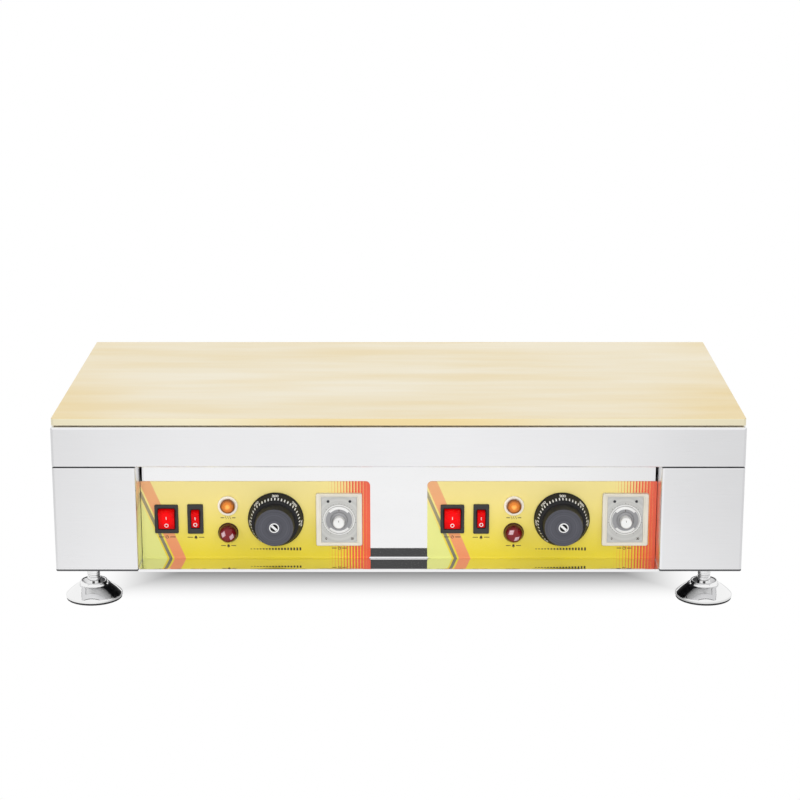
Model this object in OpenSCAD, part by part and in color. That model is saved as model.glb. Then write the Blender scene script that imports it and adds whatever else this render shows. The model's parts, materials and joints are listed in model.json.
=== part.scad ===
// Two-zone countertop griddle for thick pancakes: one brass cooking plate on a stainless body,
// with two sets of controls in a recess between the front posts and four levelling feet.
// Millimetres. +Z is up, the front faces -Y, and the origin is on the floor under the middle.

/* [Body] */
// Width of the body
body_w = 730; // [700:1:900]
// Depth of the body
body_d = 350; // [330:1:450]
// Height of the side casings
casing_h = 116; // [112:1:150]
// Height of the band under the plate
band_h = 44; // [44:1:60]
// Depth of the control recess, from the front plane to the panel
recess_d = 36; // [36:1:48]
// Depth of the rear recess, from the back plane to the rear cover
rear_inset = 28; // [28:1:40]
// Thickness of the stainless sheet
sheet = 1.5; // [1.2:0.1:1.8]
// Outer radius of the main bends
bend_r = 3; // [2.4:0.1:4]
// Outer radius of the fine bends at seams and lips
edge_r = 2; // [1.8:0.1:2.4]
// Width of the inward flanges on the side casings
casing_flange = 14; // [12:0.5:18]
// How far the front returns run on behind the control panel
return_run = 6; // [4:0.5:12]
// Width of the lips that carry the rear cover
lip_w = 16; // [14:0.5:22]

/* [Cooking plate] */
// Thickness of the plate
plate_t = 8; // [7:0.5:16]
// How far the plate stands back from the band on each side
plate_inset = 1; // [0.5:0.1:3]
// Radius of the plate's corners
plate_corner_r = 3; // [2:0.1:6]
// Radius of the plate's top and bottom edges
plate_edge_r = 0.8; // [0.4:0.1:1.5]
// Thickness of the gasket under the plate
gasket_t = 1.2; // [0.6:0.1:2]
// How far the gasket stands back from the plate's edge
gasket_inset = 3; // [1:0.5:6]
// Width of the band's top flange
rim_flange = 30; // [26:0.5:40]
// Diameter of the studs in the plate
stud_d = 6; // [5:0.5:7]
// Depth of the stud holes in the plate
stud_depth = 5; // [3:0.5:6]
// Distance of the outer studs from the body's outline
stud_edge = 16; // [14:0.5:18]
// Outer studs along each long side
stud_count = 5; // [3:1:7]
// Width across the flats of the stud nuts
nut_af = 10; // [9:0.5:11]
// Height of the stud nuts
nut_h = 5; // [4:0.5:6]

/* [Heating] */
// Diameter of the heating tube
element_d = 8; // [6:0.5:8.5]
// Straight runs in each heating tube
element_runs = 6; // [4:2:8]
// Room between the outer runs and the tray's side
element_margin = 30; // [24:1:40]
// Length of tube that stands out under the tray
leg_drop = 12; // [8:1:20]
// Width of the clamp bars
bar_w = 16; // [14:1:24]
// Thickness of the clamp bars
bar_t = 3; // [2:0.5:3.5]
// How far the clamp bars reach past the outer runs
bar_reach = 9; // [6:1:14]
// Thickness of the insulation mat
mat_t = 16; // [10:1:18]
// Thickness of the tray's sheet
tray_t = 1; // [0.8:0.1:1.2]
// Gap between the tray's side and the band's top flange
tray_gap = 5; // [3:0.5:8]
// Gap under the tray
tray_lift = 1.5; // [1.2:0.1:3]
// Diameter of the temperature sensor bulbs
bulb_d = 6; // [5:0.5:7]
// Length of the temperature sensor bulbs
bulb_l = 90; // [60:1:120]
// Diameter of the capillary tubes
capillary_d = 2; // [1.6:0.1:3]

/* [Control panel] */
// Radius of the bend between the panel and its ledge
ledge_r = 2.5; // [1.5:0.1:3]
// Width of the panel's top flange
panel_flange = 16; // [14:0.5:20]
// Slit between the panel's ends and the posts
slit_w = 2.3; // [1.5:0.1:3]
// Width of each printed overlay
overlay_w = 246; // [230:1:260]
// Space between the two overlays
overlay_gap = 61.2; // [40:0.1:80]
// Height of each printed overlay
overlay_h = 84; // [80:1:88]
// Thickness of the printed overlays
overlay_t = 0.5; // [0.3:0.1:0.8]
// Radius of the overlays' free corners
overlay_r = 5; // [2:0.5:8]
// Height of the overlays' lower edge over the ledge
overlay_lift = 3; // [2.8:0.1:4]
// Height of the control line over the ledge
control_lift = 45; // [43:0.5:47]
// Part of an overlay's free width that lies left of the power switch
power_lead = 14.25; // [8:0.25:20]
// Part of the free width between the two switches
alarm_lead = 9.75; // [6:0.25:16]
// Part of the free width between the alarm switch and the lamps
lamp_lead = 15.5; // [8:0.25:20]
// Part of the free width between the lamps and the dial
dial_lead = 10.5; // [8:0.25:16]
// Part of the free width between the dial and the timer
timer_lead = 13.25; // [8:0.25:18]
// Part of the free width that lies right of the timer
end_lead = 8.75; // [6:0.25:14]

/* [Rocker switches] */
// Width of the power switch's bezel
power_bezel_w = 25.5; // [25:0.1:28]
// Height of the power switch's bezel
power_bezel_h = 32; // [31.5:0.1:36]
// Width of the power switch's opening
power_open_w = 20; // [18:0.1:20.4]
// Height of the power switch's opening
power_open_h = 25.6; // [24:0.1:26]
// Width of the alarm switch's bezel
alarm_bezel_w = 17; // [16:0.1:19]
// Height of the alarm switch's bezel
alarm_bezel_h = 33; // [31:0.1:36]
// Width of the alarm switch's opening
alarm_open_w = 10.4; // [9:0.1:10.8]
// Height of the alarm switch's opening
alarm_open_h = 24; // [23:0.1:25.6]
// Wall of a switch body round its opening
switch_wall = 1.5; // [1.3:0.1:1.8]
// Thickness of the bezels
bezel_t = 2.2; // [1.6:0.1:3]
// Radius of the bezels' corners
bezel_r = 1.2; // [0.6:0.1:2]
// Depth of a switch body behind the overlay
switch_depth = 22; // [18:0.5:26]
// Depth of the pocket that the rocker swings in
pocket_d = 10.5; // [10:0.5:13]
// Depth of the rocker's axis behind the bezel's front
pivot_depth = 3.2; // [2.8:0.1:3.6]
// Height of the rocker's middle line over its axis
rocker_rise = 4.8; // [3.4:0.1:5.2]
// Depth of the rocker behind its axis
rocker_back = 3.2; // [2.6:0.1:3.6]
// Tilt of the rocker either way from its middle
rocker_tilt = 11; // [8:0.5:12]
// Radius of the rocker's pivot pins
trunnion_r = 1.4; // [1:0.1:1.6]
// Length of the rocker's pivot pins
trunnion_l = 1; // [0.7:0.1:1.2]
// Width of the switch tabs
tab_w = 6; // [4:0.1:6.4]
// Thickness of the switch tabs
tab_t = 0.8; // [0.6:0.1:1]
// Length of the switch tabs
tab_l = 8; // [6:0.5:10]
// Spacing of the switch tabs
tab_pitch = 9; // [8:0.5:10]

/* [Lamps] */
// Height of the heat lamps over the control line
heat_rise = 15; // [14:0.5:16]
// Depth of the alarm lamps under the control line
alarm_drop = 15.5; // [14.5:0.5:17]
// Diameter of the heat lamps' ring
heat_ring_d = 21.6; // [20:0.1:23]
// Thickness of the heat lamps' ring
heat_ring_t = 3.2; // [2.6:0.1:4]
// Diameter of the heat lamps' lens
heat_lens_d = 15.4; // [14:0.1:16.5]
// How far the heat lamps' lens stands out
heat_lens_out = 7.5; // [6:0.1:9]
// Diameter of the alarm lamps' base
alarm_base_d = 22; // [21.5:0.1:23]
// Thickness of the alarm lamps' base
alarm_base_t = 1.6; // [1.2:0.1:2.5]
// Diameter of the alarm lamps' lens
alarm_lens_d = 20.6; // [19:0.1:21]
// How far the alarm lamps' lens stands out
alarm_lens_out = 12.5; // [10:0.5:16]
// Outer diameter of the lamp barrels
barrel_d = 13; // [12:0.1:14]
// Wall of the lamp barrels
barrel_wall = 1.5; // [1:0.1:2]
// Length of the lamp barrels behind the overlay
barrel_l = 26; // [20:1:30]
// Depth of the lens stems in the barrels
lens_stem = 9; // [6:0.5:14]
// Depth of the lens seats under the ring and base faces
lens_sink = 1; // [0.6:0.1:1.1]

/* [Temperature dials] */
// Diameter of the dial skirt
skirt_d = 60; // [56:0.5:64]
// Thickness of the dial skirt
skirt_t = 2.6; // [2:0.1:4]
// Diameter of the grip at its root
grip_d = 46; // [42:0.5:48]
// Diameter of the grip at its front
grip_front_d = 44.6; // [40:0.1:46]
// Length of the dial
dial_l = 31; // [26:0.5:32]
// Radius round the front of the grip
grip_round = 1.5; // [0.8:0.1:3]
// Diameter of the metal cap in the dial
cap_d = 11; // [9:0.1:13]
// Thickness of the metal cap
cap_t = 2.6; // [2:0.1:4]
// Depth of the two hollows beside the cap's bar
cap_sink = 1.2; // [0.8:0.1:1.6]
// Width of the cap's bar
cap_bar = 2.6; // [2:0.1:3.4]
// Width of the cap's rim
cap_rim = 1; // [0.6:0.1:1.4]
// Turn of the cap's bar from level
cap_turn = 30; // [0:5:90]
// Diameter of the thermostat's shaft
shaft_d = 6; // [5:0.1:6.4]
// Diameter of the thermostat's bush
bush_d = 10; // [9.4:0.1:11]
// Width of the thermostat's case
thermostat_w = 44; // [36:1:46]
// Height of the thermostat's case
thermostat_h = 38; // [36:1:46]
// Depth of the thermostat's case
thermostat_d = 30; // [26:1:34]
// Depth of the shaft's bore behind the panel
shaft_depth = 14; // [10:0.5:20]

/* [Timers] */
// Width of the timer's frame
timer_w = 49.5; // [48:0.5:52]
// Height of the timer's frame
timer_h = 58.5; // [57:0.5:62]
// Thickness of the timer's frame
timer_frame_t = 5; // [4.4:0.1:7]
// Radius of the frame's corners
timer_frame_r = 2; // [1:0.1:4]
// Width of the timer's face
timer_face_w = 38; // [37.5:0.1:41]
// Height of the timer's face
timer_face_h = 51; // [48:0.1:53]
// Thickness of the timer's face plate
timer_face_t = 3.2; // [2.4:0.1:3.8]
// Width of the step round the frame's window
timer_step_w = 1.6; // [1:0.1:2.2]
// Depth of the step round the frame's window
timer_step_t = 1.2; // [0.6:0.1:1.6]
// Width of the timer's body behind the panel
timer_body_w = 36; // [32:0.5:36.4]
// Height of the timer's body behind the panel
timer_body_h = 46; // [42:0.5:46.4]
// Depth of the timer's body behind the panel
timer_depth = 58; // [44:1:64]
// Inner diameter of the ring on the timer's face
timer_ring_d = 31.4; // [30.8:0.1:33]
// Width of the ring on the timer's face
timer_ring_w = 1.1; // [0.6:0.1:1.6]
// Height of the ring on the timer's face
timer_ring_t = 0.6; // [0.3:0.1:1]
// Diameter of the timer dial's disc
disc_d = 30; // [26:0.1:30.4]
// Thickness of the timer dial's disc
disc_t = 1.8; // [1.2:0.1:2.4]
// Diameter of the timer dial's hub
hub_d = 17; // [14:0.5:20]
// Height of the timer dial's hub over the disc
hub_h = 2.2; // [1:0.1:3]
// Diameter of the timer dial's knob
knob_d = 12.2; // [10:0.1:13.6]
// How far the timer dial's knob stands out of the face
knob_l = 14; // [10:0.5:18]
// Diameter of the timer's shaft
timer_shaft_d = 4; // [3:0.1:5]
// Depth of the timer's shaft bore behind its face
timer_shaft_l = 14; // [8:0.5:20]

/* [Feet] */
// Height of the body's underside over the floor
foot_h = 42; // [40:1:60]
// Foot axes, from the body's sides
foot_inset_x = 34; // [32:0.5:40]
// Foot axes, from the body's front and back
foot_inset_y = 40; // [36:0.5:50]
// Diameter of the foot pads
pad_d = 61; // [56:0.5:63]
// Height of the foot pads
pad_h = 17; // [16:0.5:18]
// Height of the pads' straight rim
pad_rim = 5; // [3:0.5:6]
// Outer diameter of the pads' collar
collar_d = 31; // [28:0.5:36]
// Width of the raised ring on the collar
collar_ring = 2.4; // [1.6:0.1:3]
// Depth of the collar's hollow
collar_sink = 1.6; // [1:0.1:2]
// Hollow of the pads' sloping side
pad_hollow = 1.2; // [0:0.1:2]
// Diameter of the foot stems
stem_d = 14; // [12:0.5:15]
// Diameter of the heads that hold the stems in the pads
stem_head_d = 18.4; // [17.5:0.1:21]
// Thickness of the stems' heads
stem_head_t = 4; // [3:0.1:5]
// Height of the stems' heads over the floor
stem_head_z = 4; // [3:0.1:5]
// Height of the stems' top over the pan
stem_over = 32; // [28:1:40]
// Diameter of the welded foot nuts
weld_nut_d = 26; // [22:0.5:30]
// Height of the welded foot nuts
weld_nut_h = 12; // [10:0.5:14]
// Width across the flats of the lock nuts
lock_nut_af = 22; // [20:0.5:26]
// Height of the lock nuts
lock_nut_h = 5; // [4:0.5:6]

/* [Rear and base] */
// Cable glands, from the middle of the body
gland_x = 200; // [180:1:215]
// Height of the cable glands over the pan
gland_lift = 32; // [30:1:60]
// Bore of the cable glands
gland_bore_d = 10; // [8:0.1:12]
// Diameter of the glands' thread
gland_thread_d = 20; // [16:0.1:22]
// Width across the flats of the glands' hexagon
gland_af = 24; // [23:0.5:28]
// Thickness of the glands' hexagon
gland_hex_t = 6; // [5:0.5:8]
// Length of a gland outside the rear cover
gland_out = 25; // [20:0.5:27]
// Length of a gland inside the rear cover
gland_in = 11; // [9:0.5:14]
// Diameter of the glands' cap
gland_cap_d = 22; // [16:0.5:23]
// Thickness of the glands' lock nut
gland_nut_t = 5; // [4:0.5:7]
// Width of the terminal blocks
block_w = 50; // [40:1:60]
// Depth of the terminal blocks
block_d = 22; // [18:1:30]
// Height of the terminal blocks
block_h = 18; // [14:1:24]
// Gap between the terminal blocks and the rear cover
block_gap = 40; // [30:1:60]
// Vent slots in each group
vent_count = 9; // [5:1:11]
// Spacing of the vent slots
vent_pitch = 10; // [8:0.5:12]
// Width of the vent slots
vent_w = 4; // [2:0.5:5]
// Length of the rear vent slots
vent_l = 40; // [20:1:50]
// Length of the base vent slots
base_vent_l = 70; // [40:1:90]
// Vent groups, from the middle of the body
vent_x = 95; // [80:1:105]
// Height of the pan's front flange
pan_flange = 12; // [8:0.5:14]
// Diameter of the sheet screws
screw_d = 4; // [3:0.5:4.5]
// Diameter of the screw heads
screw_head_d = 7.6; // [7:0.1:9]
// Height of the screw heads
screw_head_h = 2.4; // [1.6:0.1:3]
// How far the sheet screws stand through both sheets
screw_out = 1; // [0.5:0.1:1]
// Screws in the side flanges, from the body's side
screw_edge = 8; // [7.5:0.1:8.5]
// Spacing of the pan's screws along each side
pan_screw_pitch = 90; // [70:1:100]
// Spacing of the panel's screws
panel_screw_pitch = 215; // [180:1:230]
// Band screws, from the middle of the body's depth
band_screw_y = 110; // [60:1:120]
// Rear cover's screws, from its top and bottom
rear_screw_z = 18; // [12:1:30]

/* [Wiring] */
// Diameter of the inner wires
wire_d = 3; // [2:0.1:3.4]
// Spacing of the wires' runs behind the panel
wire_step = 8; // [7:0.5:9]

/* [Clearances] */
// Gap between parts that move past each other
move_gap = 0.3; // [0.25:0.05:0.4]
// Radial clearance of pins, shafts and stems
run_gap = 0.05; // [0.02:0.01:0.08]
// Radial clearance of holes round fixed pieces
hole_gap = 0.2; // [0.1:0.05:0.4]
// Gap between fixed sheets at their edges
sheet_gap = 0.4; // [0.2:0.1:0.8]
// Gap under pieces that are pressed to the plate
seat_gap = 0.2; // [0.1:0.05:0.3]
// Gap between the dials and the overlay
dial_gap = 1.2; // [0.8:0.1:2]

/* [Hidden] */
$fn = 64;

left = -1;
right = 1;
front = -1;
rear = 1;
sides = [left, right];
cut = 1;          // how far a cutter runs past the face it opens
arc_steps = 8;    // straight steps in a drawn arc

// Planes of the body
x_side = body_w / 2;
x_post = overlay_gap / 2 + overlay_w + sheet_gap;
y_front = -body_d / 2;
y_back = body_d / 2;
y_panel = y_front + recess_d;
y_panel_back = y_panel + sheet;
y_face = y_panel - overlay_t;
y_return = y_panel_back + return_run;
y_rear = y_back - rear_inset;
y_cover_in = y_rear - sheet;
y_lip_in = y_cover_in - sheet;
z_body = foot_h;
z_pan = z_body + sheet;
z_ledge = z_pan + sheet;
z_band = z_body + casing_h;
z_rim = z_band + band_h;
z_plate = z_rim + gasket_t;
z_top = z_plate + plate_t;
z_control = z_ledge + control_lift;
z_heat_lamp = z_control + heat_rise;
z_alarm_lamp = z_control - alarm_drop;
z_gland = z_ledge + gland_lift;
z_cover = [z_ledge + sheet_gap, z_band - sheet_gap];

// Heating space inside the band
x_tray = x_side - rim_flange - tray_gap;
y_tray = body_d / 2 - rim_flange - tray_gap;
z_tray = z_band + sheet + tray_lift;
z_tray_flange = z_rim - sheet - tray_t;
z_mat = z_tray + tray_t;
x_zone = x_tray / 2;
y_run = y_tray - element_margin;
run_pitch = 2 * y_run / (element_runs - 1);
run_half = x_zone - run_pitch / 2 - element_margin / 2;
x_leg = x_zone - run_half;
z_element = z_plate - seat_gap - element_d / 2;
z_leg = z_tray - leg_drop;
z_bar = z_element - element_d / 2 - seat_gap;
z_bulb = z_plate - seat_gap - bulb_d / 2;
x_capillary = x_zone - bulb_l / 2;
z_capillary = z_leg - leg_drop / 2;
bar_stud_y = (element_runs / 2 - 1) * run_pitch;

// Switches
y_bezel = y_face - bezel_t;
y_pivot = y_bezel + pivot_depth;
y_switch_back = y_face + switch_depth;
y_tab = y_switch_back + tab_l;

// Row of controls, from an overlay's left edge
row_widths = [power_bezel_w, alarm_bezel_w, max(heat_ring_d, alarm_base_d), skirt_d, timer_w];
row_leads = [power_lead, alarm_lead, lamp_lead, dial_lead, timer_lead, end_lead];
lead_unit = (overlay_w - total(row_widths, len(row_widths))) / total(row_leads, len(row_leads));
power_x = row_x(0);
alarm_x = row_x(1);
lamp_x = row_x(2);
dial_x = row_x(3);
timer_x = row_x(4);

// Dials, timers and lamps
y_dial = y_face - dial_gap;
y_dial_front = y_dial - dial_l;
y_thermostat = y_panel_back + thermostat_d;
y_timer_face = y_face - timer_face_t;
y_timer_back = y_panel_back + timer_depth;
y_barrel = y_face + barrel_l;

// Wire runs behind the panel
y_runs = [for (i = [0 : 5]) y_panel_back + thermostat_d + wire_step * (i + 1)];
y_block = y_cover_in - block_gap - block_d / 2;

// Places of repeated pieces
rim_stud_points = [for (y = [front, rear], i = [0 : stud_count - 1])
    [(2 * i / (stud_count - 1) - 1) * (x_side - stud_edge), y * (body_d / 2 - stud_edge)]];
bar_stud_points = [for (s = sides, e = sides, y = [front, rear])
    [s * x_zone + e * run_half / 2, y * bar_stud_y]];
leg_points = [for (s = sides, y = [front, rear]) [s * x_leg, y * y_run]];
foot_points = [for (s = sides, y = [front, rear])
    [s * (x_side - foot_inset_x), y * (body_d / 2 - foot_inset_y)]];
pan_screw_points = [for (s = sides, i = [-1 : 1]) [s * (x_side - screw_edge), i * pan_screw_pitch]];
band_screw_points = [for (s = sides, y = [front, rear]) [s * (x_side - screw_edge), y * band_screw_y]];
panel_screw_points = [for (i = [-1 : 1]) [i * panel_screw_pitch, y_panel + panel_flange / 2 + sheet]];
rear_screw_points = [for (s = sides, z = [z_cover[0] + rear_screw_z, z_cover[1] - rear_screw_z])
    [s * (x_post - lip_w / 2), z]];

function span(range) = range[1] - range[0];
function around(middle, size) = [middle - size / 2, middle + size / 2];
function total(list, count) = count == 0 ? 0 : list[count - 1] + total(list, count - 1);
function row_x(i) = lead_unit * total(row_leads, i + 1) + total(row_widths, i) + row_widths[i] / 2;
function overlay_x(side) = side == left
    ? [-x_post + sheet_gap, -x_post + sheet_gap + overlay_w]
    : [x_post - sheet_gap - overlay_w, x_post - sheet_gap];
function control_x(side, from_left) = overlay_x(side)[0] + from_left;
function arc(u, v, r, from, to) =
    [for (i = [0 : arc_steps]) let (a = from + (to - from) * i / arc_steps) [u + r * cos(a), v + r * sin(a)]];
function dome(r, low, high) =
    [for (i = [0 : arc_steps]) let (a = 90 * i / arc_steps) [r * cos(a), low + (high - low) * sin(a)]];

// Box over three ranges
module block(x, y, z) {
    translate([x[0], y[0], z[0]]) cube([span(x), span(y), span(z)]);
}

// Rectangle over two ranges, with its lower and upper corners rounded
module rounded(u, v, low_r, high_r) {
    translate([u[0], v[0] + low_r]) square([span(u), span(v) - low_r - high_r]);
    translate([u[0] + low_r, v[0]]) square([span(u) - 2 * low_r, span(v) - high_r]);
    translate([u[0] + high_r, v[0] + low_r]) square([span(u) - 2 * high_r, span(v) - low_r]);
    for (c = [u[0] + low_r, u[1] - low_r]) translate([c, v[0] + low_r]) circle(low_r);
    for (c = [u[0] + high_r, u[1] - high_r]) translate([c, v[1] - high_r]) circle(high_r);
}

// Box with bent edges: upright corners, lower edges and upper edges
module bent_box(x, y, z, side_r, low_r, high_r) {
    intersection() {
        translate([0, 0, z[0]]) linear_extrude(span(z)) rounded(x, y, side_r, side_r);
        translate([0, y[1], 0]) rotate([90, 0, 0]) linear_extrude(span(y)) rounded(x, z, low_r, high_r);
        translate([x[0], 0, 0]) rotate([90, 0, 90]) linear_extrude(span(x)) rounded(y, z, low_r, high_r);
    }
}

// Flat outline in X and Z, with thickness along Y
module plate_xz(y) {
    translate([0, y[1], 0]) rotate([90, 0, 0]) linear_extrude(span(y)) children();
}

module rod_x(x, y, z, d) {
    translate([x[0], y, z]) rotate([0, 90, 0]) cylinder(h = span(x), d = d);
}

module rod_y(x, y, z, d) {
    translate([x, y[1], z]) rotate([90, 0, 0]) cylinder(h = span(y), d = d);
}

module rod_z(x, y, z, d) {
    translate([x, y, z[0]]) cylinder(h = span(z), d = d);
}

// Hexagon along Z, by its width across the flats
module hexagon_z(x, y, z, af) {
    translate([x, y, z[0]]) cylinder(h = span(z), d = af / cos(30), $fn = 6);
}

// Hexagon along Y, by its width across the flats
module hexagon_y(x, y, z, af) {
    translate([x, y[1], z]) rotate([90, 0, 0]) cylinder(h = span(y), d = af / cos(30), $fn = 6);
}

// Turned piece whose axis points out of the panel: the outline is radius and height
module turned_out(x, y, z, outline) {
    translate([x, y, z]) rotate([90, 0, 0]) rotate_extrude() polygon(outline);
}

// Round tube or wire through a list of points
module bent_rod(points, d) {
    for (i = [0 : len(points) - 2]) {
        run = points[i + 1] - points[i];
        length = norm(run);
        turn = [0, acos(run[2] / length), atan2(run[1], run[0])];
        translate(points[i]) rotate(turn) cylinder(h = length, d = d);
    }
    for (i = [1 : len(points) - 2]) translate(points[i]) sphere(d = d);
}

// The left-hand shape, or its mirror image on the right
module handed(side) {
    if (side == right) mirror([1, 0, 0]) children();
    else children();
}

// Upright holes at a list of points
module holes_z(points, z, d) {
    for (p = points) rod_z(p[0], p[1], z, d);
}

// Row of upright or lengthwise slots, cut through flat sheet
module slot_row(length) {
    for (i = [0 : vent_count - 1]) {
        translate([(i - (vent_count - 1) / 2) * vent_pitch, 0]) {
            square([vent_w, length - vent_w], center = true);
            for (e = [-1, 1]) translate([0, e * (length - vent_w) / 2]) circle(d = vent_w);
        }
    }
}

module cooking_plate() {
    half_w = x_side - plate_inset;
    half_d = body_d / 2 - plate_inset;
    color("burlywood") difference() {
        bent_box([-half_w, half_w], [-half_d, half_d], [z_plate, z_top],
            plate_corner_r, plate_edge_r, plate_edge_r);
        holes_z(concat(rim_stud_points, bar_stud_points),
            [z_plate - cut, z_plate + stud_depth], stud_d + 2 * run_gap);
    }
}

module plate_gasket() {
    half_w = x_side - plate_inset - gasket_inset;
    half_d = body_d / 2 - plate_inset - gasket_inset;
    hole_w = x_side - rim_flange;
    hole_d = body_d / 2 - rim_flange;
    color("dimgray") difference() {
        block([-half_w, half_w], [-half_d, half_d], [z_rim, z_plate]);
        block([-hole_w, hole_w], [-hole_d, hole_d], [z_rim - cut, z_plate + cut]);
        holes_z(rim_stud_points, [z_rim - cut, z_plate + cut], stud_d + 2 * hole_gap);
    }
}

module plate_studs() {
    color("silver") {
        for (p = rim_stud_points)
            rod_z(p[0], p[1], [z_tray_flange - nut_h - sheet, z_plate + stud_depth - seat_gap], stud_d);
        for (p = bar_stud_points)
            rod_z(p[0], p[1], [z_bar - bar_t - nut_h - sheet, z_plate + stud_depth - seat_gap], stud_d);
    }
}

module stud_nut(p, z) {
    difference() {
        hexagon_z(p[0], p[1], z, nut_af);
        rod_z(p[0], p[1], [z[0] - cut, z[1] + cut], stud_d + 2 * run_gap);
    }
}

module plate_nuts() {
    color("silver") {
        for (p = rim_stud_points) stud_nut(p, [z_tray_flange - nut_h, z_tray_flange]);
        for (p = bar_stud_points) stud_nut(p, [z_bar - bar_t - nut_h, z_bar - bar_t]);
    }
}

module rim_band() {
    inner_w = x_side - sheet;
    inner_d = body_d / 2 - sheet;
    hole_w = x_side - rim_flange;
    hole_d = body_d / 2 - rim_flange;
    floor_w = x_side - casing_flange;
    floor_front = y_panel + panel_flange + 2 * sheet;
    floor_rear = y_lip_in - casing_flange;
    color("gainsboro") difference() {
        bent_box([-x_side, x_side], [y_front, y_back], [z_band, z_rim], bend_r, edge_r, bend_r);
        block([-inner_w, inner_w], [-inner_d, inner_d], [z_band + sheet, z_rim - sheet]);
        block([-hole_w, hole_w], [-hole_d, hole_d], [z_rim - sheet - cut, z_rim + cut]);
        block([-floor_w, floor_w], [floor_front, floor_rear], [z_band - cut, z_band + sheet + cut]);
        holes_z(rim_stud_points, [z_rim - sheet - cut, z_rim + cut], stud_d + 2 * hole_gap);
        holes_z(concat(band_screw_points, panel_screw_points),
            [z_band - cut, z_band + sheet + cut], screw_d + 2 * hole_gap);
    }
}

module casing(side) {
    color("gainsboro") difference() {
        handed(side) {
            difference() {
                bent_box([-x_side, -x_post], [y_front, y_back], [z_body, z_band], bend_r, bend_r, edge_r);
                block([-x_side + sheet, -x_post - sheet], [y_front + sheet, y_back - sheet],
                    [z_body + sheet, z_band - sheet]);
                block([-x_side + casing_flange, -x_post - sheet],
                    [y_front + casing_flange, y_back - casing_flange], [z_body - cut, z_band + cut]);
                block([-x_post - sheet - cut, -x_post + cut], [y_return, y_lip_in],
                    [z_body - cut, z_band + cut]);
            }
            block([-x_post - sheet, -x_post + lip_w], [y_lip_in, y_cover_in],
                [z_ledge + sheet_gap, z_band - sheet]);
        }
        holes_z(pan_screw_points, [z_body - cut, z_pan + cut], screw_d + 2 * hole_gap);
        holes_z(band_screw_points, [z_band - sheet - cut, z_band + cut], screw_d + 2 * hole_gap);
        for (p = rear_screw_points)
            rod_y(p[0], [y_lip_in - cut, y_cover_in + cut], p[1], screw_d + 2 * hole_gap);
    }
}

module base_pan() {
    edge_x = x_side - sheet - sheet_gap;
    edge_y = body_d / 2 - sheet - sheet_gap;
    ear_x = x_post + sheet + sheet_gap;
    middle_x = x_post - sheet_gap;
    full_y = [y_return + sheet_gap, y_lip_in - sheet_gap];
    flange_x = x_post - slit_w - sheet_gap;
    color("lightgray") difference() {
        union() {
            block([-edge_x, edge_x], full_y, [z_pan, z_ledge]);
            block([-middle_x, middle_x], [y_panel_back, full_y[0]], [z_pan, z_ledge]);
            for (s = sides) {
                handed(s) {
                    block([-edge_x, -ear_x], [-edge_y, full_y[0]], [z_pan, z_ledge]);
                    block([-edge_x, -ear_x], [full_y[1], edge_y], [z_pan, z_ledge]);
                }
            }
            block([-flange_x, flange_x], [y_panel_back, y_panel_back + sheet], [z_pan, z_ledge + pan_flange]);
        }
        holes_z(foot_points, [z_pan - cut, z_ledge + cut], stem_d + 4 * hole_gap);
        holes_z(pan_screw_points, [z_pan - cut, z_ledge + cut], screw_d + 2 * hole_gap);
        for (s = sides) {
            translate([s * vent_x, 0, z_pan - cut]) linear_extrude(sheet + 2 * cut) slot_row(base_vent_l);
        }
    }
}

// Folded sheet in Y and Z: top flange, face, bend, ledge and front lip
module panel_profile() {
    polygon(concat(
        arc(y_panel - ledge_r, z_ledge + ledge_r, ledge_r, 0, -90),
        arc(y_front + edge_r, z_ledge - edge_r, edge_r, 90, 180),
        [[y_front, z_body], [y_front + sheet, z_body], [y_front + sheet, z_pan]],
        arc(y_panel - ledge_r, z_ledge + ledge_r, ledge_r + sheet, -90, 0),
        [[y_panel_back, z_band - sheet], [y_panel + panel_flange, z_band - sheet]],
        [[y_panel + panel_flange, z_band]],
        arc(y_panel + edge_r, z_band - edge_r, edge_r, 90, 180)
    ));
}

// Openings for one set of controls, through the overlay and the panel
module control_openings(side) {
    through = [y_face - cut, y_panel_back + cut];
    power_w = power_open_w + 2 * switch_wall + 2 * hole_gap;
    power_h = power_open_h + 2 * switch_wall + 2 * hole_gap;
    alarm_w = alarm_open_w + 2 * switch_wall + 2 * hole_gap;
    alarm_h = alarm_open_h + 2 * switch_wall + 2 * hole_gap;
    timer_hole_w = timer_body_w + 2 * hole_gap;
    timer_hole_h = timer_body_h + 2 * hole_gap;
    block(around(control_x(side, power_x), power_w), through, around(z_control, power_h));
    block(around(control_x(side, alarm_x), alarm_w), through, around(z_control, alarm_h));
    block(around(control_x(side, timer_x), timer_hole_w), through, around(z_control, timer_hole_h));
    rod_y(control_x(side, dial_x), through, z_control, bush_d + 2 * hole_gap);
    for (z = [z_heat_lamp, z_alarm_lamp]) rod_y(control_x(side, lamp_x), through, z, barrel_d + 2 * hole_gap);
}

module control_panel() {
    half_w = x_post - sheet_gap;
    color("silver") difference() {
        translate([-half_w, 0, 0]) rotate([90, 0, 90]) linear_extrude(2 * half_w) panel_profile();
        for (s = sides) {
            control_openings(s);
            handed(s) block([-half_w - cut, -x_post + slit_w], [y_panel - cut, y_panel + panel_flange + cut],
                [z_ledge + ledge_r + sheet, z_band + cut]);
        }
        holes_z(panel_screw_points, [z_band - sheet - cut, z_band + cut], screw_d + 2 * hole_gap);
    }
}

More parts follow.
